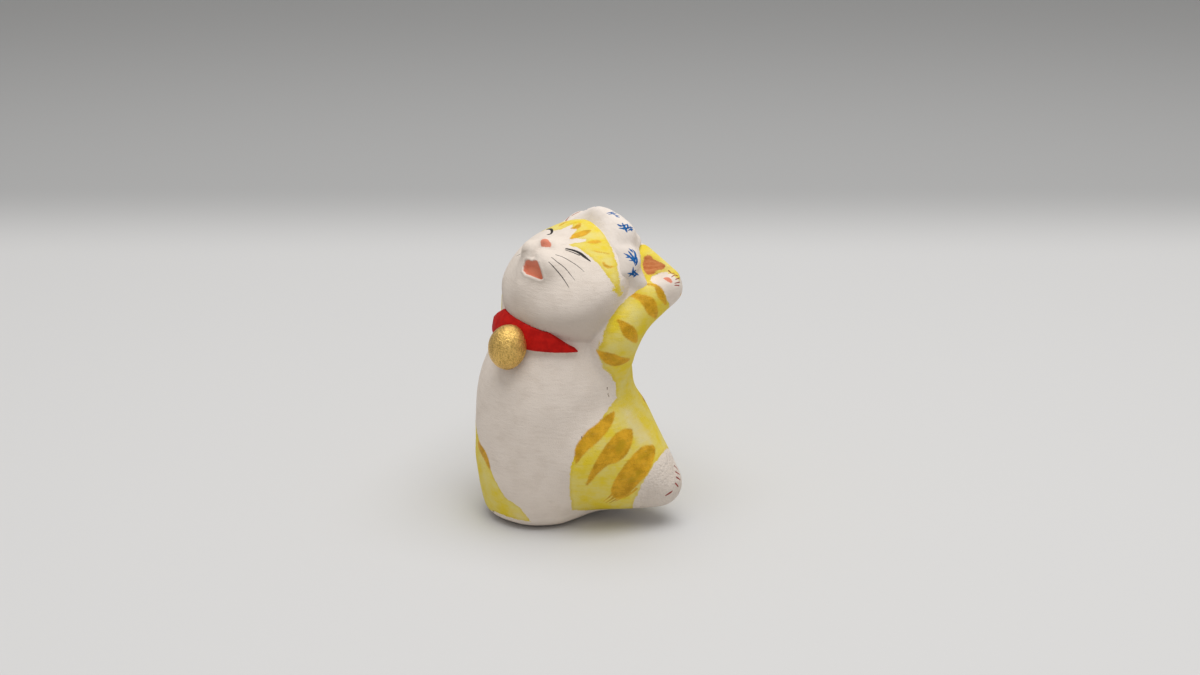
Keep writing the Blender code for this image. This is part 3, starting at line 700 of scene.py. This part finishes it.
normals = np.array([vert.normal for vert in figure.verts])
ear_red = np.minimum(outline_gap(across, up, EAR_RED), outline_gap(-across, up, EAR_RED))
ear_red = np.maximum(ear_red, off("left_ear", "right_ear", "head"))
ear_red = np.where((normals @ np.array(out_of_face) > 0.0) & (out > EAR_BACK), ear_red, 1.0)
mouth_red = np.maximum(outline_gap(across, up, MOUTH_OPENING) - LIP_LAP, on_front)
nose_red = np.maximum(outline_gap(across, up, NOSE_PAINT), on_front)
pad_red = strokes_gap(points, [painted(line, head_spot) for line in PAW_PADS])
coral = np.min([mouth_red, nose_red, pad_red], axis=0)
# Painted shade: how far a point lies down in the mouth, where the coral turns darker
depth = np.clip(smooth_share(mouth_gap, *MOUTH_SHADE) * front, 0.0, 1.0)
facing_up = normals[:, 2] + NO_PAINTED_SHADE * smooth_share(off_head, *PAINTED_SHADE_EDGE)
thin = strokes_gap(points, [painted(line, wheel_spot) for line in THIN_WASHES_AND_LIGHT])

coat = finished(figure, "clay_figure")
# Two of these are no distances: how deep a point lies in the mouth, and how far it faces up; they set the
# painted shade in the mouth and on the sides and underside of the head
PAINTS = {
    "yellow": yellow, "ochre": ochre, "coral": coral, "ear_red": ear_red,
    "sock": sock, "depth": depth, "thin": thin, "facing_up": facing_up,
}
for paint, gap in PAINTS.items():
    layer = coat.data.attributes.new(paint, "FLOAT", "POINT")
    layer.data.foreach_set("value", gap.astype(np.float32))

# Fine lines drawn with a pointed brush: closed eyes, whiskers, claws, the split hairs of the dry brush
# below the last stripe of the flank, and specks of dirt
LEFT_EYE = (
    (3.9, 2.4, 0.18), (4.9, 2.95, 0.25), (6.0, 3.3, 0.28),
    (6.9, 3.4, 0.32), (8.2, 3.35, 0.27), (9.4, 3.35, 0.12),
)
LEFT_LID = ((4.1, 2.05, 0.08), (5.4, 2.55, 0.12), (6.9, 2.95, 0.12))
RIGHT_EYE = (
    (-8.5, 5.3, 0.25), (-6.9, 5.45, 0.3), (-5.4, 4.95, 0.3), (-4.5, 4.1, 0.3), (-5.2, 3.75, 0.2),
)
WHISKERS = (
    ((4.5, -0.3, 0.07), (5.3, 0.3, 0.08), (6.5, 0.65, 0.08), (8.2, 0.9, 0.07), (10.3, 0.8, 0.04)),
    ((4.8, -1.4, 0.07), (6.1, -1.3, 0.09), (7.4, -1.1, 0.09), (10.1, -1.7, 0.04)),
    ((5.2, -2.5, 0.07), (6.4, -2.6, 0.1), (7.9, -2.8, 0.1), (10.0, -3.5, 0.05)),
    ((-3.0, 0.4, 0.08), (-4.4, 1.0, 0.08), (-9.2, 1.6, 0.04)),
    ((-3.2, -0.9, 0.08), (-4.6, -0.6, 0.09), (-9.4, -1.2, 0.04)),
    ((-3.4, -2.2, 0.08), (-4.9, -2.3, 0.09), (-9.2, -3.2, 0.05)),
)
PAW_CLAWS = (
    ((15.3, 13.9, -4.8, 0.13), (16.1, 13.8, -4.8, 0.11)),
    ((16.3, 13.7, -4.8, 0.1), (16.6, 14.1, -5.1, 0.12)),
    ((17.2, 13.0, -4.9, 0.09), (17.0, 13.9, -5.2, 0.12), (17.3, 14.2, -5.6, 0.12)),
    ((17.9, 13.3, -5.5, 0.1), (17.6, 14.1, -6.1, 0.12)),
    ((18.3, 12.5, -5.7, 0.09), (18.0, 13.6, -6.6, 0.13)),
    ((18.5, 12.2, -5.9, 0.1), (18.4, 13.0, -6.8, 0.13)),
    ((-18.6, 13.0, -2.9, 0.2), (-19.4, 14.4, -3.4, 0.16)),
    ((-18.9, 14.9, -3.3, 0.16), (-18.7, 15.5, -3.4, 0.14)),
    ((-18.7, 15.8, -3.5, 0.18), (-18.5, 16.6, -3.7, 0.15)),
)
FOOT_CLAWS = (
    ((57, 12.4, 0.16), (55.5, 11.4, 0.12)),
    ((58.5, 11.5, 0.18), (56.5, 10.6, 0.13)),
    ((59.5, 10.6, 0.18), (57.5, 9.7, 0.13)),
    ((61, 9.6, 0.2), (59.5, 8.7, 0.15)),
    ((64.5, 7.5, 0.12), (63.5, 7.9, 0.22), (62.5, 8.2, 0.15)),
)
DRY_HAIRS = (
    ((83.2, 9.4, 0.35), (84.6, 6.9, 0.08)), ((81.4, 8.6, 0.4), (82.6, 6.4, 0.08)),
    ((79.0, 8.6, 0.4), (80.8, 6.3, 0.08)), ((76.8, 9.0, 0.35), (79.2, 6.8, 0.08)),
    ((75.0, 9.8, 0.3), (77.2, 7.6, 0.08)),
)
SPECKS = (
    ((91, 30.1, 0.12), (91, 29.8, 0.08)),
    ((89.5, 28.5, 0.1), (89, 28.2, 0.08)),
    ((90, 28.9, 0.08), (90.2, 28.7, 0.05)),
    ((109, 21.6, 0.08), (109, 21.3, 0.06)),
    ((172, 0.9, 0.16), (174, 0.6, 0.1)),
    ((163, 0.8, 0.14), (166, 0.5, 0.1)),
    ((-173, 2.4, 0.14), (-171, 1.9, 0.1)),
    ((-120, 1.2, 0.16), (-124, 0.7, 0.1)),
    ((20, 1.4, 0.16), (23, 0.8, 0.1)),
    ((-60, 3.6, 0.12), (-59, 3.3, 0.08)),
)


def snapped(line, find):
    """A drawn line on the skin: points and half widths in millimetres."""
    return [(Vector(find(*row[:-1])) / MM, row[-1]) for row in eased(line, INK_STEPS)]


def drawn_gap(spot, lines):
    """Distance from the edge of the nearest of some drawn lines, below 0 on it."""
    gap = None
    for (a, a_width), (b, b_width) in (pair for line in lines for pair in zip(line, line[1:])):
        run = b - a
        from_a = spot.vector("SUBTRACT", a)
        share = from_a.vector("DOT_PRODUCT", run / run.length_squared, "Value").most(0.0).least(1.0)
        along = share.node("ShaderNodeCombineXYZ", {}, {0: share, 1: share, 2: share})
        off_line = from_a.vector("SUBTRACT", along.vector("MULTIPLY", run)).vector("LENGTH", a, "Value")
        edge = off_line - a_width - (b_width - a_width) * share
        gap = edge if gap is None else gap.least(edge)
    return gap


ink_lines = [snapped(line, face_spot) for line in (LEFT_EYE, LEFT_LID, RIGHT_EYE) + WHISKERS]
claw_lines = [snapped(line, head_spot) for line in PAW_CLAWS]
claw_lines += [snapped(line, wheel_spot) for line in FOOT_CLAWS]
hair_lines = [snapped(line, wheel_spot) for line in DRY_HAIRS]
speck_lines = [snapped(line, wheel_spot) for line in SPECKS]

COAT_WHITE = (0.81, 0.715, 0.63, 1.0)
COAT_GREY = (0.74, 0.645, 0.56, 1.0)
COAT_PAINTED_SHADE = (0.58, 0.495, 0.42, 1.0)
SPECK_BROWN = (0.20, 0.13, 0.085, 1.0)
YELLOW_THIN = (0.79, 0.67, 0.15, 1.0)
YELLOW_FULL = (0.80, 0.61, 0.03, 1.0)
YELLOW_DEEP = (0.62, 0.44, 0.015, 1.0)
OCHRE_LIGHT = (0.80, 0.43, 0.02, 1.0)
OCHRE_DARK = (0.50, 0.255, 0.003, 1.0)
OCHRE_OLIVE = (0.46, 0.29, 0.002, 1.0)
CORAL_LIGHT = (0.74, 0.25, 0.16, 1.0)
CORAL_DARK = (0.74, 0.24, 0.14, 1.0)
EAR_LIGHT = (0.64, 0.24, 0.085, 1.0)
EAR_DARK = (0.50, 0.145, 0.04, 1.0)
INK = (0.022, 0.018, 0.016, 1.0)
CLAW_RED = (0.33, 0.05, 0.035, 1.0)
WANDER_SIZE = 1.5
BRISTLE_SIZE = 0.28
BLOTCH_SIZE = 3.4
BRUSH_SIZE = 0.75
BRUSH_RUN = (0.28, 0.28, 1.5)
PORE_SIZE = 0.16
WASH_SIZE = 4.6
OCHRE_SIZE = 2.2
OLIVE_SIZE = 2.8
PIT_SIZE = 0.8
PIT_FIELD = 7.0
CRACKLE_SIZE = 0.75
WORN_AND_SHADED_HEIGHT = (0.75, 0.15)
COAT_RELIEF = 0.24
COAT_SHEEN = 0.2

coat_look, coat_shader, spot = new_look("painted_coat")
wander = spot.clouds(WANDER_SIZE, 3.0, 0.6) - 0.5
bristle = spot.clouds(BRISTLE_SIZE, 2.0, 0.6) - 0.5
blotch = spot.clouds(BLOTCH_SIZE, 3.0, 0.55)
brush_run = spot.vector("MULTIPLY", BRUSH_RUN).clouds(BRUSH_SIZE, 4.0, 0.62)
pores = spot.clouds(PORE_SIZE, 1.0, 0.5)

yellow_edge = spot.held("yellow") + 0.9 * wander + 0.45 * bristle
yellow_cover = yellow_edge.step(0.1, -0.12)
wash_clouds = spot.clouds(WASH_SIZE, 3.0, 0.6)
dense = (0.6 * wash_clouds + 0.2 * blotch + 0.2 * brush_run).step(0.34, 0.64)
pooled = yellow_edge.step(-0.7, -0.1)
thinned_and_lit = (spot.held("thin") + 3.0 * wander).step(0.8, -1.6)
ochre_edge = (spot.held("ochre") + 0.35 * wander + 0.5 * bristle).step(0.16, -0.3)
hair_cover = (drawn_gap(spot, hair_lines) + 0.12 * bristle).step(0.05, -0.07)
ochre_cover = ochre_edge.most(0.9 * hair_cover) * (0.74 + 0.55 * brush_run).least(1.0)
ochre_core = spot.held("ochre").step(-0.5, -1.9) * spot.clouds(OLIVE_SIZE, 2.0, 0.5).step(0.44, 0.6)
ochre_clouds = spot.clouds(OCHRE_SIZE, 3.0, 0.6)
ochre_body = (0.25 * pores + 0.2 * brush_run + 0.55 * ochre_clouds).step(0.36, 0.62)
coral_cover = (spot.held("coral") + 0.3 * bristle).step(0.05, -0.12)
ear_cover = (spot.held("ear_red") + 0.5 * bristle + 0.3 * wander).step(0.08, -0.16)
ink_cover = (drawn_gap(spot, ink_lines) + 0.12 * bristle).step(0.03, -0.05)
claw_cover = (drawn_gap(spot, claw_lines) + 0.12 * bristle).step(0.04, -0.06)
speck_cover = (drawn_gap(spot, speck_lines) + 0.3 * bristle).step(0.05, -0.05)
# The bottom edge of the coat turns to dark clay: coat worn off the rim, and painted shade for the dark
# contact line under the base
worn_and_shaded_rim = spot.vector("DOT_PRODUCT", (0.0, 0.0, 1.0), "Value") + 0.9 * wander

tone = (0.6 * blotch + 0.4 * brush_run).step(0.28, 0.6).blend(COAT_GREY, COAT_WHITE)
# Painted shade: the head's coat darkens where it faces sideways and down, on the cheeks and under the
# chin
tone = (0.75 * spot.held("facing_up").step(0.45, -0.3)).blend(tone, COAT_PAINTED_SHADE)
yellow_tone = (0.35 * pooled).blend(dense.blend(YELLOW_THIN, YELLOW_FULL), YELLOW_DEEP)
# The yellow is paler where the wash is thin, which on the left flank is also painted light
tone = (yellow_cover * (0.86 + 0.14 * dense - 0.24 * thinned_and_lit)).blend(tone, yellow_tone)
ochre_tone = (0.65 * ochre_core).blend(ochre_body.blend(OCHRE_DARK, OCHRE_LIGHT), OCHRE_OLIVE)
tone = ochre_cover.blend(tone, ochre_tone)
# Coral on the mouth, nose and paw pads, darker deeper in the mouth as painted shade, and varied at random
# with the brush
tone = coral_cover.blend(tone, (spot.held("depth") + 0.5 * wander).blend(CORAL_LIGHT, CORAL_DARK))
tone = ear_cover.blend(tone, brush_run.step(0.35, 0.65).blend(EAR_DARK, EAR_LIGHT))
tone = claw_cover.blend(tone, CLAW_RED)
# Wear and painted shade along the bottom edge
tone = (0.8 * worn_and_shaded_rim.step(*WORN_AND_SHADED_HEIGHT)).blend(tone, CLAY_DARK)
tone = speck_cover.blend(tone, SPECK_BROWN)
ink_cover.blend(tone, INK).feed(coat_shader, "Base Color")
matt = 0.82 - 0.22 * ochre_cover - 0.1 * yellow_cover - 0.25 * ink_cover + 0.2 * bristle
matt.feed(coat_shader, "Roughness")
pits = spot.clouds(PIT_SIZE, 2.0, 0.6).step(0.6, 0.72) * spot.clouds(PIT_FIELD).step(0.42, 0.6)
crackle = spot.clouds(CRACKLE_SIZE, 3.0, 0.7) * spot.held("sock").step(1.0, -1.5)
relief = 0.45 * brush_run + 0.35 * pores + 0.2 * blotch + 2.5 * crackle - 0.12 * pits
(relief + 0.06 * ochre_cover + 0.05 * ink_cover).emboss(coat_shader, COAT_RELIEF)
coat_shader.inputs["Specular IOR Level"].default_value = COAT_SHEEN
coat.data.materials.append(coat_look)
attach(coat, "root")
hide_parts(*(node for nodes in LIMBS.values() for node in nodes))

# Towel: a thin roll of clay pressed over the crown as a folded cloth, dented by a finger on each side,
# brushed with the same white coat and marked with blue hash signs, the old woven-thread pattern.

TOWEL_GRAIN = 0.24 * MM
TOWEL_COAT = 0.1 * MM
TOWEL_FRONT = -4.2
TOWEL_WIDTH = 8.8
TOWEL_TURN = math.radians(-12.0)
TOWEL_TILT = math.radians(40.0)
# On the towel a place is (turn from the crown towards an ear, in degrees, mm behind the front edge).
# Folds and a finger's dent on each side: turn, way back, spread round the head, spread back, height
TOWEL_FOLDS = (
    (0.0, 0.8, 16.0, 1.8, 0.9),
    (32.0, 3.2, 8.0, 1.6, 0.45),
    (47.0, 3.6, 5.0, 2.2, -0.7),
    (30.0, 6.0, 13.0, 2.6, 0.6),
)
FOLD_START = (-0.2, 1.3)
CROWN_SPREAD = 26.0
BY_EAR = (46.0, 60.0)
# Where the towel thins out to its edges, and the share of its thickness that is left there
FRONT_FEATHER = (-0.3, 4.2)
CROWN_FEATHER = 2.2
FRONT_THIN = 0.1
CROWN_THIN = 0.06
BACK_FEATHER = (0.3, 5.6)
BACK_THIN = 0.14
END_FEATHER = (84.0, 62.0)
END_THIN = 0.05
# How deep the edges are pressed into the head, and where
END_SINK = 1.3
END_SUNK = (71.0, 85.0)
FRONT_SINK = 0.35
FRONT_SUNK = (0.8, -0.3)
EAR_SINK = 1.3
EAR_SUNK = (4.7, 6.1)
TOWEL_LUMP = 2.4 * MM
TOWEL_UNEVEN = 0.14 * MM
OUTER_FACE = 0.8 * MM
TOWEL_SLIDE = 1.1 * MM
SLIDE_BACK = (6.0, 0.0)
SLIDE_ROUND = (62.0, 40.0)
towel_place = (
    head_place @ Matrix.Rotation(TOWEL_TURN, 4, "Y") @ Matrix.Rotation(TOWEL_TILT, 4, "X")
)
TOWEL_WHITE = (0.82, 0.735, 0.665, 1.0)
TOWEL_GREY = (0.76, 0.675, 0.60, 1.0)
TOWEL_SIDE_SHADE = (0.62, 0.55, 0.49, 1.0)
INDIGO = (0.002, 0.07, 0.26, 1.0)
INDIGO_PALE = (0.006, 0.12, 0.36, 1.0)
CROWN_RADIUS = 15.5
# Blue marks: each stroke lists (mm behind the front edge, turn in degrees)
HASH_STROKES = (
    # Two on the crown and two beside the ear
    ((0.9, 11), (1.8, 11), (2.9, 8)), ((1.1, 13), (2.0, 13), (2.9, 12)),
    ((1.9, 14), (2.4, 16), (3.0, 17)), ((2.1, 17), (2.6, 20)),
    ((2.2, 29), (2.2, 33), (2.4, 36), (2.6, 38)), ((1.4, 28), (1.8, 32), (2.5, 32), (3.1, 32)),
    ((1.4, 33), (2.1, 35), (2.9, 35), (4.4, 33)), ((3.0, 31), (2.9, 34), (2.6, 36)),
    ((3.4, 33), (3.6, 36), (3.7, 37)), ((2.8, 37), (4.1, 35)),
    ((1.2, 57), (1.9, 60), (2.7, 65), (3.2, 66)), ((2.0, 55), (2.4, 59), (2.7, 63), (2.8, 67)),
    ((2.4, 53), (2.8, 57)), ((2.9, 54), (3.2, 57), (3.1, 61), (2.6, 64), (1.8, 64)),
    ((3.2, 58), (3.2, 65), (2.9, 68)), ((1.4, 61), (2.3, 61)),
    ((2.5, 69), (2.6, 73), (2.7, 75)), ((1.6, 74), (2.7, 74), (3.6, 75)),
    ((2.1, 76), (2.7, 73), (3.2, 71)), ((2.4, 72), (3.3, 73), (4.2, 74)), ((3.1, 76), (3.8, 73)),
    # Back of the head
    ((5.4, 17), (7.4, 18)), ((5.6, 21), (7.2, 22)), ((6.0, 14), (6.2, 25)), ((6.9, 15), (7.0, 24)),
)
HASH_STEPS = 2
HASH_FINE = 0.07
HASH_FULL = 0.22
# The cat's right side repeats the marks a little apart from where a mirror would put them
RIGHT_STRETCH = (0.95, 1.04)
RIGHT_SHIFT = (0.2, 0.8)
TOWEL_BLOTCH = 2.8
TOWEL_PORE = 0.18
TOWEL_BRUSH = 0.7
TOWEL_RUN = (0.5, 1.4, 0.5)
STREAK_SIZE = 0.5
SHADED_SIDE = (8.0, 17.0)
TOWEL_RELIEF = 0.2
TOWEL_SHEEN = 0.2

towel = bmesh.new()
towel.from_mesh(remeshed(mesh_of(clay_of("towel"), "towel_roll"), TOWEL_GRAIN, "towel_roll"))
soften(towel, towel.verts, 8)
towel.normal_update()
towel_inward = towel_place.inverted()
towel_forward = towel_place.to_3x3() @ Vector((0.0, 0.0, 1.0))


def eased_share(value, start, end):
    """The smooth share of one number, as a plain number."""
    return float(smooth_share(value, start, end))


def towel_spot(point):
    """Turn round the head from the crown, in radians, and mm behind the towel's front edge."""
    side, rise, forward = (towel_inward @ point) / MM
    return math.atan2(side, rise), TOWEL_FRONT - forward


for vert in towel.verts:
    angle, from_front = towel_spot(vert.co)
    turned = abs(math.degrees(angle))
    crown = math.exp(-((turned / CROWN_SPREAD) ** 2))
    by_ear = eased_share(turned, *BY_EAR)
    front_thin = FRONT_THIN + CROWN_THIN * crown
    behind = eased_share(from_front, FRONT_FEATHER[0], FRONT_FEATHER[1] - CROWN_FEATHER * crown)
    ahead = eased_share(TOWEL_WIDTH - from_front, *BACK_FEATHER)
    above = eased_share(turned, *END_FEATHER)
    kept = front_thin + (1.0 - front_thin) * behind
    kept *= BACK_THIN + (1.0 - BACK_THIN) * ahead
    kept *= END_THIN + (1.0 - END_THIN) * above
    swell = 0.0
    for at, deep, round_spread, back_spread, fold_height in TOWEL_FOLDS:
        off_fold = ((turned - at) / round_spread) ** 2 + ((from_front - deep) / back_spread) ** 2
        swell += fold_height * math.exp(-off_fold)
    swell *= eased_share(from_front, *FOLD_START)
    sunk = END_SINK * eased_share(turned, *END_SUNK)
    sunk += FRONT_SINK * eased_share(from_front, *FRONT_SUNK)
    sunk += EAR_SINK * by_ear * eased_share(from_front, *EAR_SUNK)
    under = skin.find_nearest(vert.co)[0]
    lifted = 0.0
    if (vert.co - under).length > OUTER_FACE:
        uneven = noise.noise(vert.co / TOWEL_LUMP) * TOWEL_UNEVEN
        lifted = TOWEL_COAT + uneven * kept + swell * MM
    slide = eased_share(from_front, *SLIDE_BACK) * eased_share(turned, *SLIDE_ROUND)
    seat, skin_out = skin.find_nearest(under + towel_forward * (TOWEL_SLIDE * slide))[:2]
    vert.co = seat + (vert.co - under) * kept + vert.normal * lifted - skin_out * (sunk * MM)
soften(towel, towel.verts, 6)
weave_places = []
for vert in towel.verts:
    angle, from_front = towel_spot(vert.co)
    round_crown = angle * CROWN_RADIUS
    if angle <= 0.0:
        from_front = from_front * RIGHT_STRETCH[0] + RIGHT_SHIFT[0]
        round_crown = RIGHT_SHIFT[1] - RIGHT_STRETCH[1] * round_crown
    weave_places += (from_front, round_crown, 0.0)
towel_piece = finished(towel, "folded_towel")
weave_layer = towel_piece.data.attributes.new("weave_place", "FLOAT_VECTOR", "POINT")
weave_layer.data.foreach_set("vector", weave_places)

towel_look, towel_shader, spot = new_look("towel_coat")
weave_place = spot.held("weave_place", "Vector")
hash_lines = []
for stroke in HASH_STROKES:
    rows = eased(stroke, HASH_STEPS)
    places = [Vector((row[0], math.radians(row[1]) * CROWN_RADIUS, 0.0)) for row in rows]
    press = np.sin(np.linspace(0.0, math.pi, len(rows)))
    widths = HASH_FINE + (HASH_FULL - HASH_FINE) * press
    hash_lines.append(list(zip(places, widths.tolist())))
blotch = spot.clouds(TOWEL_BLOTCH, 3.0, 0.55)
pores = spot.clouds(TOWEL_PORE, 2.0, 0.5)
brushed = spot.vector("MULTIPLY", TOWEL_RUN).clouds(TOWEL_BRUSH, 3.0, 0.6)
streak = spot.clouds(STREAK_SIZE, 2.0, 0.6)
hash_cover = (drawn_gap(weave_place, hash_lines) + 0.25 * (streak - 0.5)).step(0.06, -0.06)
tone = (0.6 * blotch + 0.4 * brushed).step(0.3, 0.6).blend(TOWEL_GREY, TOWEL_WHITE)
# Painted shade: the towel darkens further round the head from the crown, down its sides
round_side = weave_place.vector("DOT_PRODUCT", (0.0, 1.0, 0.0), "Value").step(*SHADED_SIDE)
tone = (0.5 * round_side).blend(tone, TOWEL_SIDE_SHADE)
indigo = streak.step(0.35, 0.65).blend(INDIGO_PALE, INDIGO)
tone = (hash_cover * (0.85 + 0.4 * streak).least(1.0)).blend(tone, indigo)
tone.feed(towel_shader, "Base Color")
(0.74 + 0.2 * pores).feed(towel_shader, "Roughness")
(0.45 * brushed + 0.25 * pores + 0.3 * blotch).emboss(towel_shader, TOWEL_RELIEF)
towel_shader.inputs["Specular IOR Level"].default_value = TOWEL_SHEEN
towel_piece.data.materials.append(towel_look)
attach(towel_piece, "root")
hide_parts("towel")

# Collar: a flat ribbon of clay round the neck, painted red along its face. The brush stopped short of
# the edges in places, so the white coat shows there as a thin rim.

COLLAR_GRAIN = 0.16 * MM
COLLAR_COAT = 0.3 * MM
COLLAR_SAG = 0.4 * MM
COLLAR_SINK = 2.4 * MM
SINK_EDGE = (-0.1, 0.4)
# The ribbon's upper edge, by turn from the middle of the back: what is above it sinks into the neck
COLLAR_TURNS = (50.0, 60.0, 70.0, 114.0, 118.0, 123.0, 131.0, 140.0, 149.0, 160.0)
COLLAR_TOPS = (60.0, 45.0, 30.0, 37.6, 38.5, 39.1, 40.3, 41.7, 43.2, 46.0)
COLLAR_RED = (0.54, 0.010, 0.006, 1.0)
COLLAR_DEEP = (0.42, 0.006, 0.004, 1.0)
BARE_RIM = (0.92, 1.0)
MOTTLE_SIZE = 1.2
COLLAR_RELIEF = 0.08
COLLAR_SHEEN = 0.1

ribbon = clay_of("collar")
lower = clay_of("collar")
bmesh.ops.translate(lower, verts=lower.verts, vec=(0.0, 0.0, -COLLAR_SAG))
ribbon.from_mesh(mesh_of(lower, "collar_lower"))
collar = bmesh.new()
collar.from_mesh(remeshed(mesh_of(ribbon, "collar_ribbon"), COLLAR_GRAIN, "collar_ribbon"))
soften(collar, collar.verts, 4)
collar.normal_update()
for vert in collar.verts:
    vert.co += vert.normal * COLLAR_COAT
collar.normal_update()
for vert in collar.verts:
    x, y, z = vert.co / MM
    from_axis = y - float(lean(z))
    collar_turn = abs(math.degrees(math.atan2(x, from_axis)))
    over = z - float(np.interp(collar_turn, COLLAR_TURNS, COLLAR_TOPS))
    inward = Vector((-x, -from_axis, 0.0)).normalized()
    vert.co += inward * (COLLAR_SINK * eased_share(over, *SINK_EDGE))
facing_down = [-vert.normal.z for vert in collar.verts]
collar_piece = finished(collar, "red_collar")
rim_layer = collar_piece.data.attributes.new("rim", "FLOAT", "POINT")
rim_layer.data.foreach_set("value", facing_down)

collar_look, collar_shader, spot = new_look("collar_paint")
mottle = spot.clouds(MOTTLE_SIZE, 3.0, 0.6)
bare_rim = (spot.held("rim") + 0.16 * mottle).step(*BARE_RIM)
red = mottle.step(0.3, 0.65).blend(COLLAR_DEEP, COLLAR_RED)
bare_rim.blend(red, COAT_WHITE).feed(collar_shader, "Base Color")
(0.5 + 0.25 * mottle).feed(collar_shader, "Roughness")
mottle.emboss(collar_shader, COLLAR_RELIEF)
collar_shader.inputs["Specular IOR Level"].default_value = COLLAR_SHEEN
collar_piece.data.materials.append(collar_look)
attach(collar_piece, "root")
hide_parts("collar")

# Bell: a clay ball pressed on below the chin and painted with bronze powder, thin enough in places that
# the brush marks and the dark clay show through.

BELL_GRAIN = 0.18 * MM
BELL_SLIM = 0.92
BELL_GOLD = (0.90, 0.60, 0.19, 1.0)
BELL_BRONZE = (0.40, 0.24, 0.05, 1.0)
POWDER_SIZE = 0.3
WORN_SIZE = 1.6
BELL_RELIEF = 0.3

bell = bmesh.new()
bell.from_mesh(remeshed(mesh_of(clay_of("bell"), "bell_ball"), BELL_GRAIN, "bell_ball"))
soften(bell, bell.verts, 4)
bell_low, bell_high = (Vector(corner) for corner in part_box("bell"))
bell_middle = Matrix.Translation((bell_low + bell_high) / 2)
bell_squeeze = Matrix.Diagonal((BELL_SLIM, 1.0, 1.0, 1.0))
bmesh.ops.transform(bell, matrix=bell_middle @ bell_squeeze @ bell_middle.inverted(), verts=bell.verts)
bell_piece = finished(bell, "gold_bell")
bell_look, bell_shader, spot = new_look("bell_gold")
powder = spot.clouds(POWDER_SIZE, 3.0, 0.65)
gilt = 0.7 * powder + 0.3 * spot.clouds(WORN_SIZE, 3.0, 0.6)
gilt.step(0.3, 0.62).blend(BELL_BRONZE, BELL_GOLD).feed(bell_shader, "Base Color")
bell_shader.inputs["Metallic"].default_value = 1.0
(0.24 + 0.3 * powder).feed(bell_shader, "Roughness")
gilt.emboss(bell_shader, BELL_RELIEF)
bell_piece.data.materials.append(bell_look)
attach(bell_piece, "root")
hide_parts("bell")

# Room: a pale table under soft light from above. Its cloth is painted greyer and then darker some way
# behind the figure, painted shade for the sweep of the studio turning away from the lamp.

VIEW_TURN = math.radians(48.0)
VIEW_RISE = math.radians(19.5)
VIEW_REACH = 0.4
PIXELS_PER_METRE = 4800.0
IMAGE_WIDTH = 1200.0
IMAGE_HEIGHT = 675.0
FOOT_PIXEL = (541.0, 508.0)
TABLE_PALE = (0.63, 0.625, 0.62, 1.0)
TABLE_SHADED = (0.415, 0.414, 0.412, 1.0)
SWEEP_SHADED = (0.365, 0.364, 0.362, 1.0)
# Where the table turns grey and then dark, in mm behind the figure
GREY_FROM = (175.0, 260.0)
DARK_FROM = (240.0, 620.0)
FLOOR_HALF = 3.0
TABLE_ROUGH = 0.7
TABLE_SHEEN = 0.2
SENSOR_WIDTH = 36.0
NEAR_CLIP = 0.01
SKY = (1.0, 0.99, 0.975, 1.0)
SKY_STRENGTH = 0.43
LAMP_POWER = 5.0
LAMP_SIZE = 0.7
LAMP_PLACE = Vector((0.07, 0.03, 0.75))

right = Vector((math.cos(VIEW_TURN), math.sin(VIEW_TURN), 0.0))
to_viewer = Vector((math.sin(VIEW_TURN), -math.cos(VIEW_TURN), 0.0))

floor = bmesh.new()
bmesh.ops.create_grid(floor, x_segments=1, y_segments=1, size=FLOOR_HALF)
floor_piece = finished(floor, "floor")
floor_look, floor_shader, spot = new_look("table")
far_back = spot.vector("DOT_PRODUCT", -to_viewer, "Value")
sweep = far_back.step(*GREY_FROM).blend(TABLE_PALE, TABLE_SHADED)
far_back.step(*DARK_FROM).blend(sweep, SWEEP_SHADED).feed(floor_shader, "Base Color")
floor_shader.inputs["Roughness"].default_value = TABLE_ROUGH
floor_shader.inputs["Specular IOR Level"].default_value = TABLE_SHEEN
floor_piece.data.materials.append(floor_look)

toward = to_viewer * math.cos(VIEW_RISE) + Vector((0.0, 0.0, math.sin(VIEW_RISE)))
upward = toward.cross(right)
aim = right * ((IMAGE_WIDTH / 2 - FOOT_PIXEL[0]) / PIXELS_PER_METRE)
aim += upward * ((FOOT_PIXEL[1] - IMAGE_HEIGHT / 2) / PIXELS_PER_METRE)
camera_data = bpy.data.cameras.new("camera")
camera_data.sensor_width = SENSOR_WIDTH
camera_data.lens = SENSOR_WIDTH * VIEW_REACH * PIXELS_PER_METRE / IMAGE_WIDTH
camera_data.clip_start = NEAR_CLIP
camera = bpy.data.objects.new("camera", camera_data)
camera_turn = Matrix((right, upward, toward)).transposed().to_4x4()
camera.matrix_world = Matrix.Translation(aim + toward * VIEW_REACH) @ camera_turn
bpy.context.scene.collection.objects.link(camera)
bpy.context.scene.camera = camera

world = bpy.data.worlds.new("room")
world.use_nodes = True
sky = world.node_tree.nodes["Background"]
sky.inputs["Color"].default_value = SKY
sky.inputs["Strength"].default_value = SKY_STRENGTH
bpy.context.scene.world = world
lamp_data = bpy.data.lights.new("overhead", "AREA")
lamp_data.energy = LAMP_POWER
lamp_data.size = LAMP_SIZE
lamp = bpy.data.objects.new("overhead", lamp_data)
lamp_turn = LAMP_PLACE.to_track_quat("Z", "Y").to_matrix().to_4x4()
lamp.matrix_world = Matrix.Translation(LAMP_PLACE) @ lamp_turn
bpy.context.scene.collection.objects.link(lamp)
bpy.context.scene.view_settings.view_transform = "Standard"
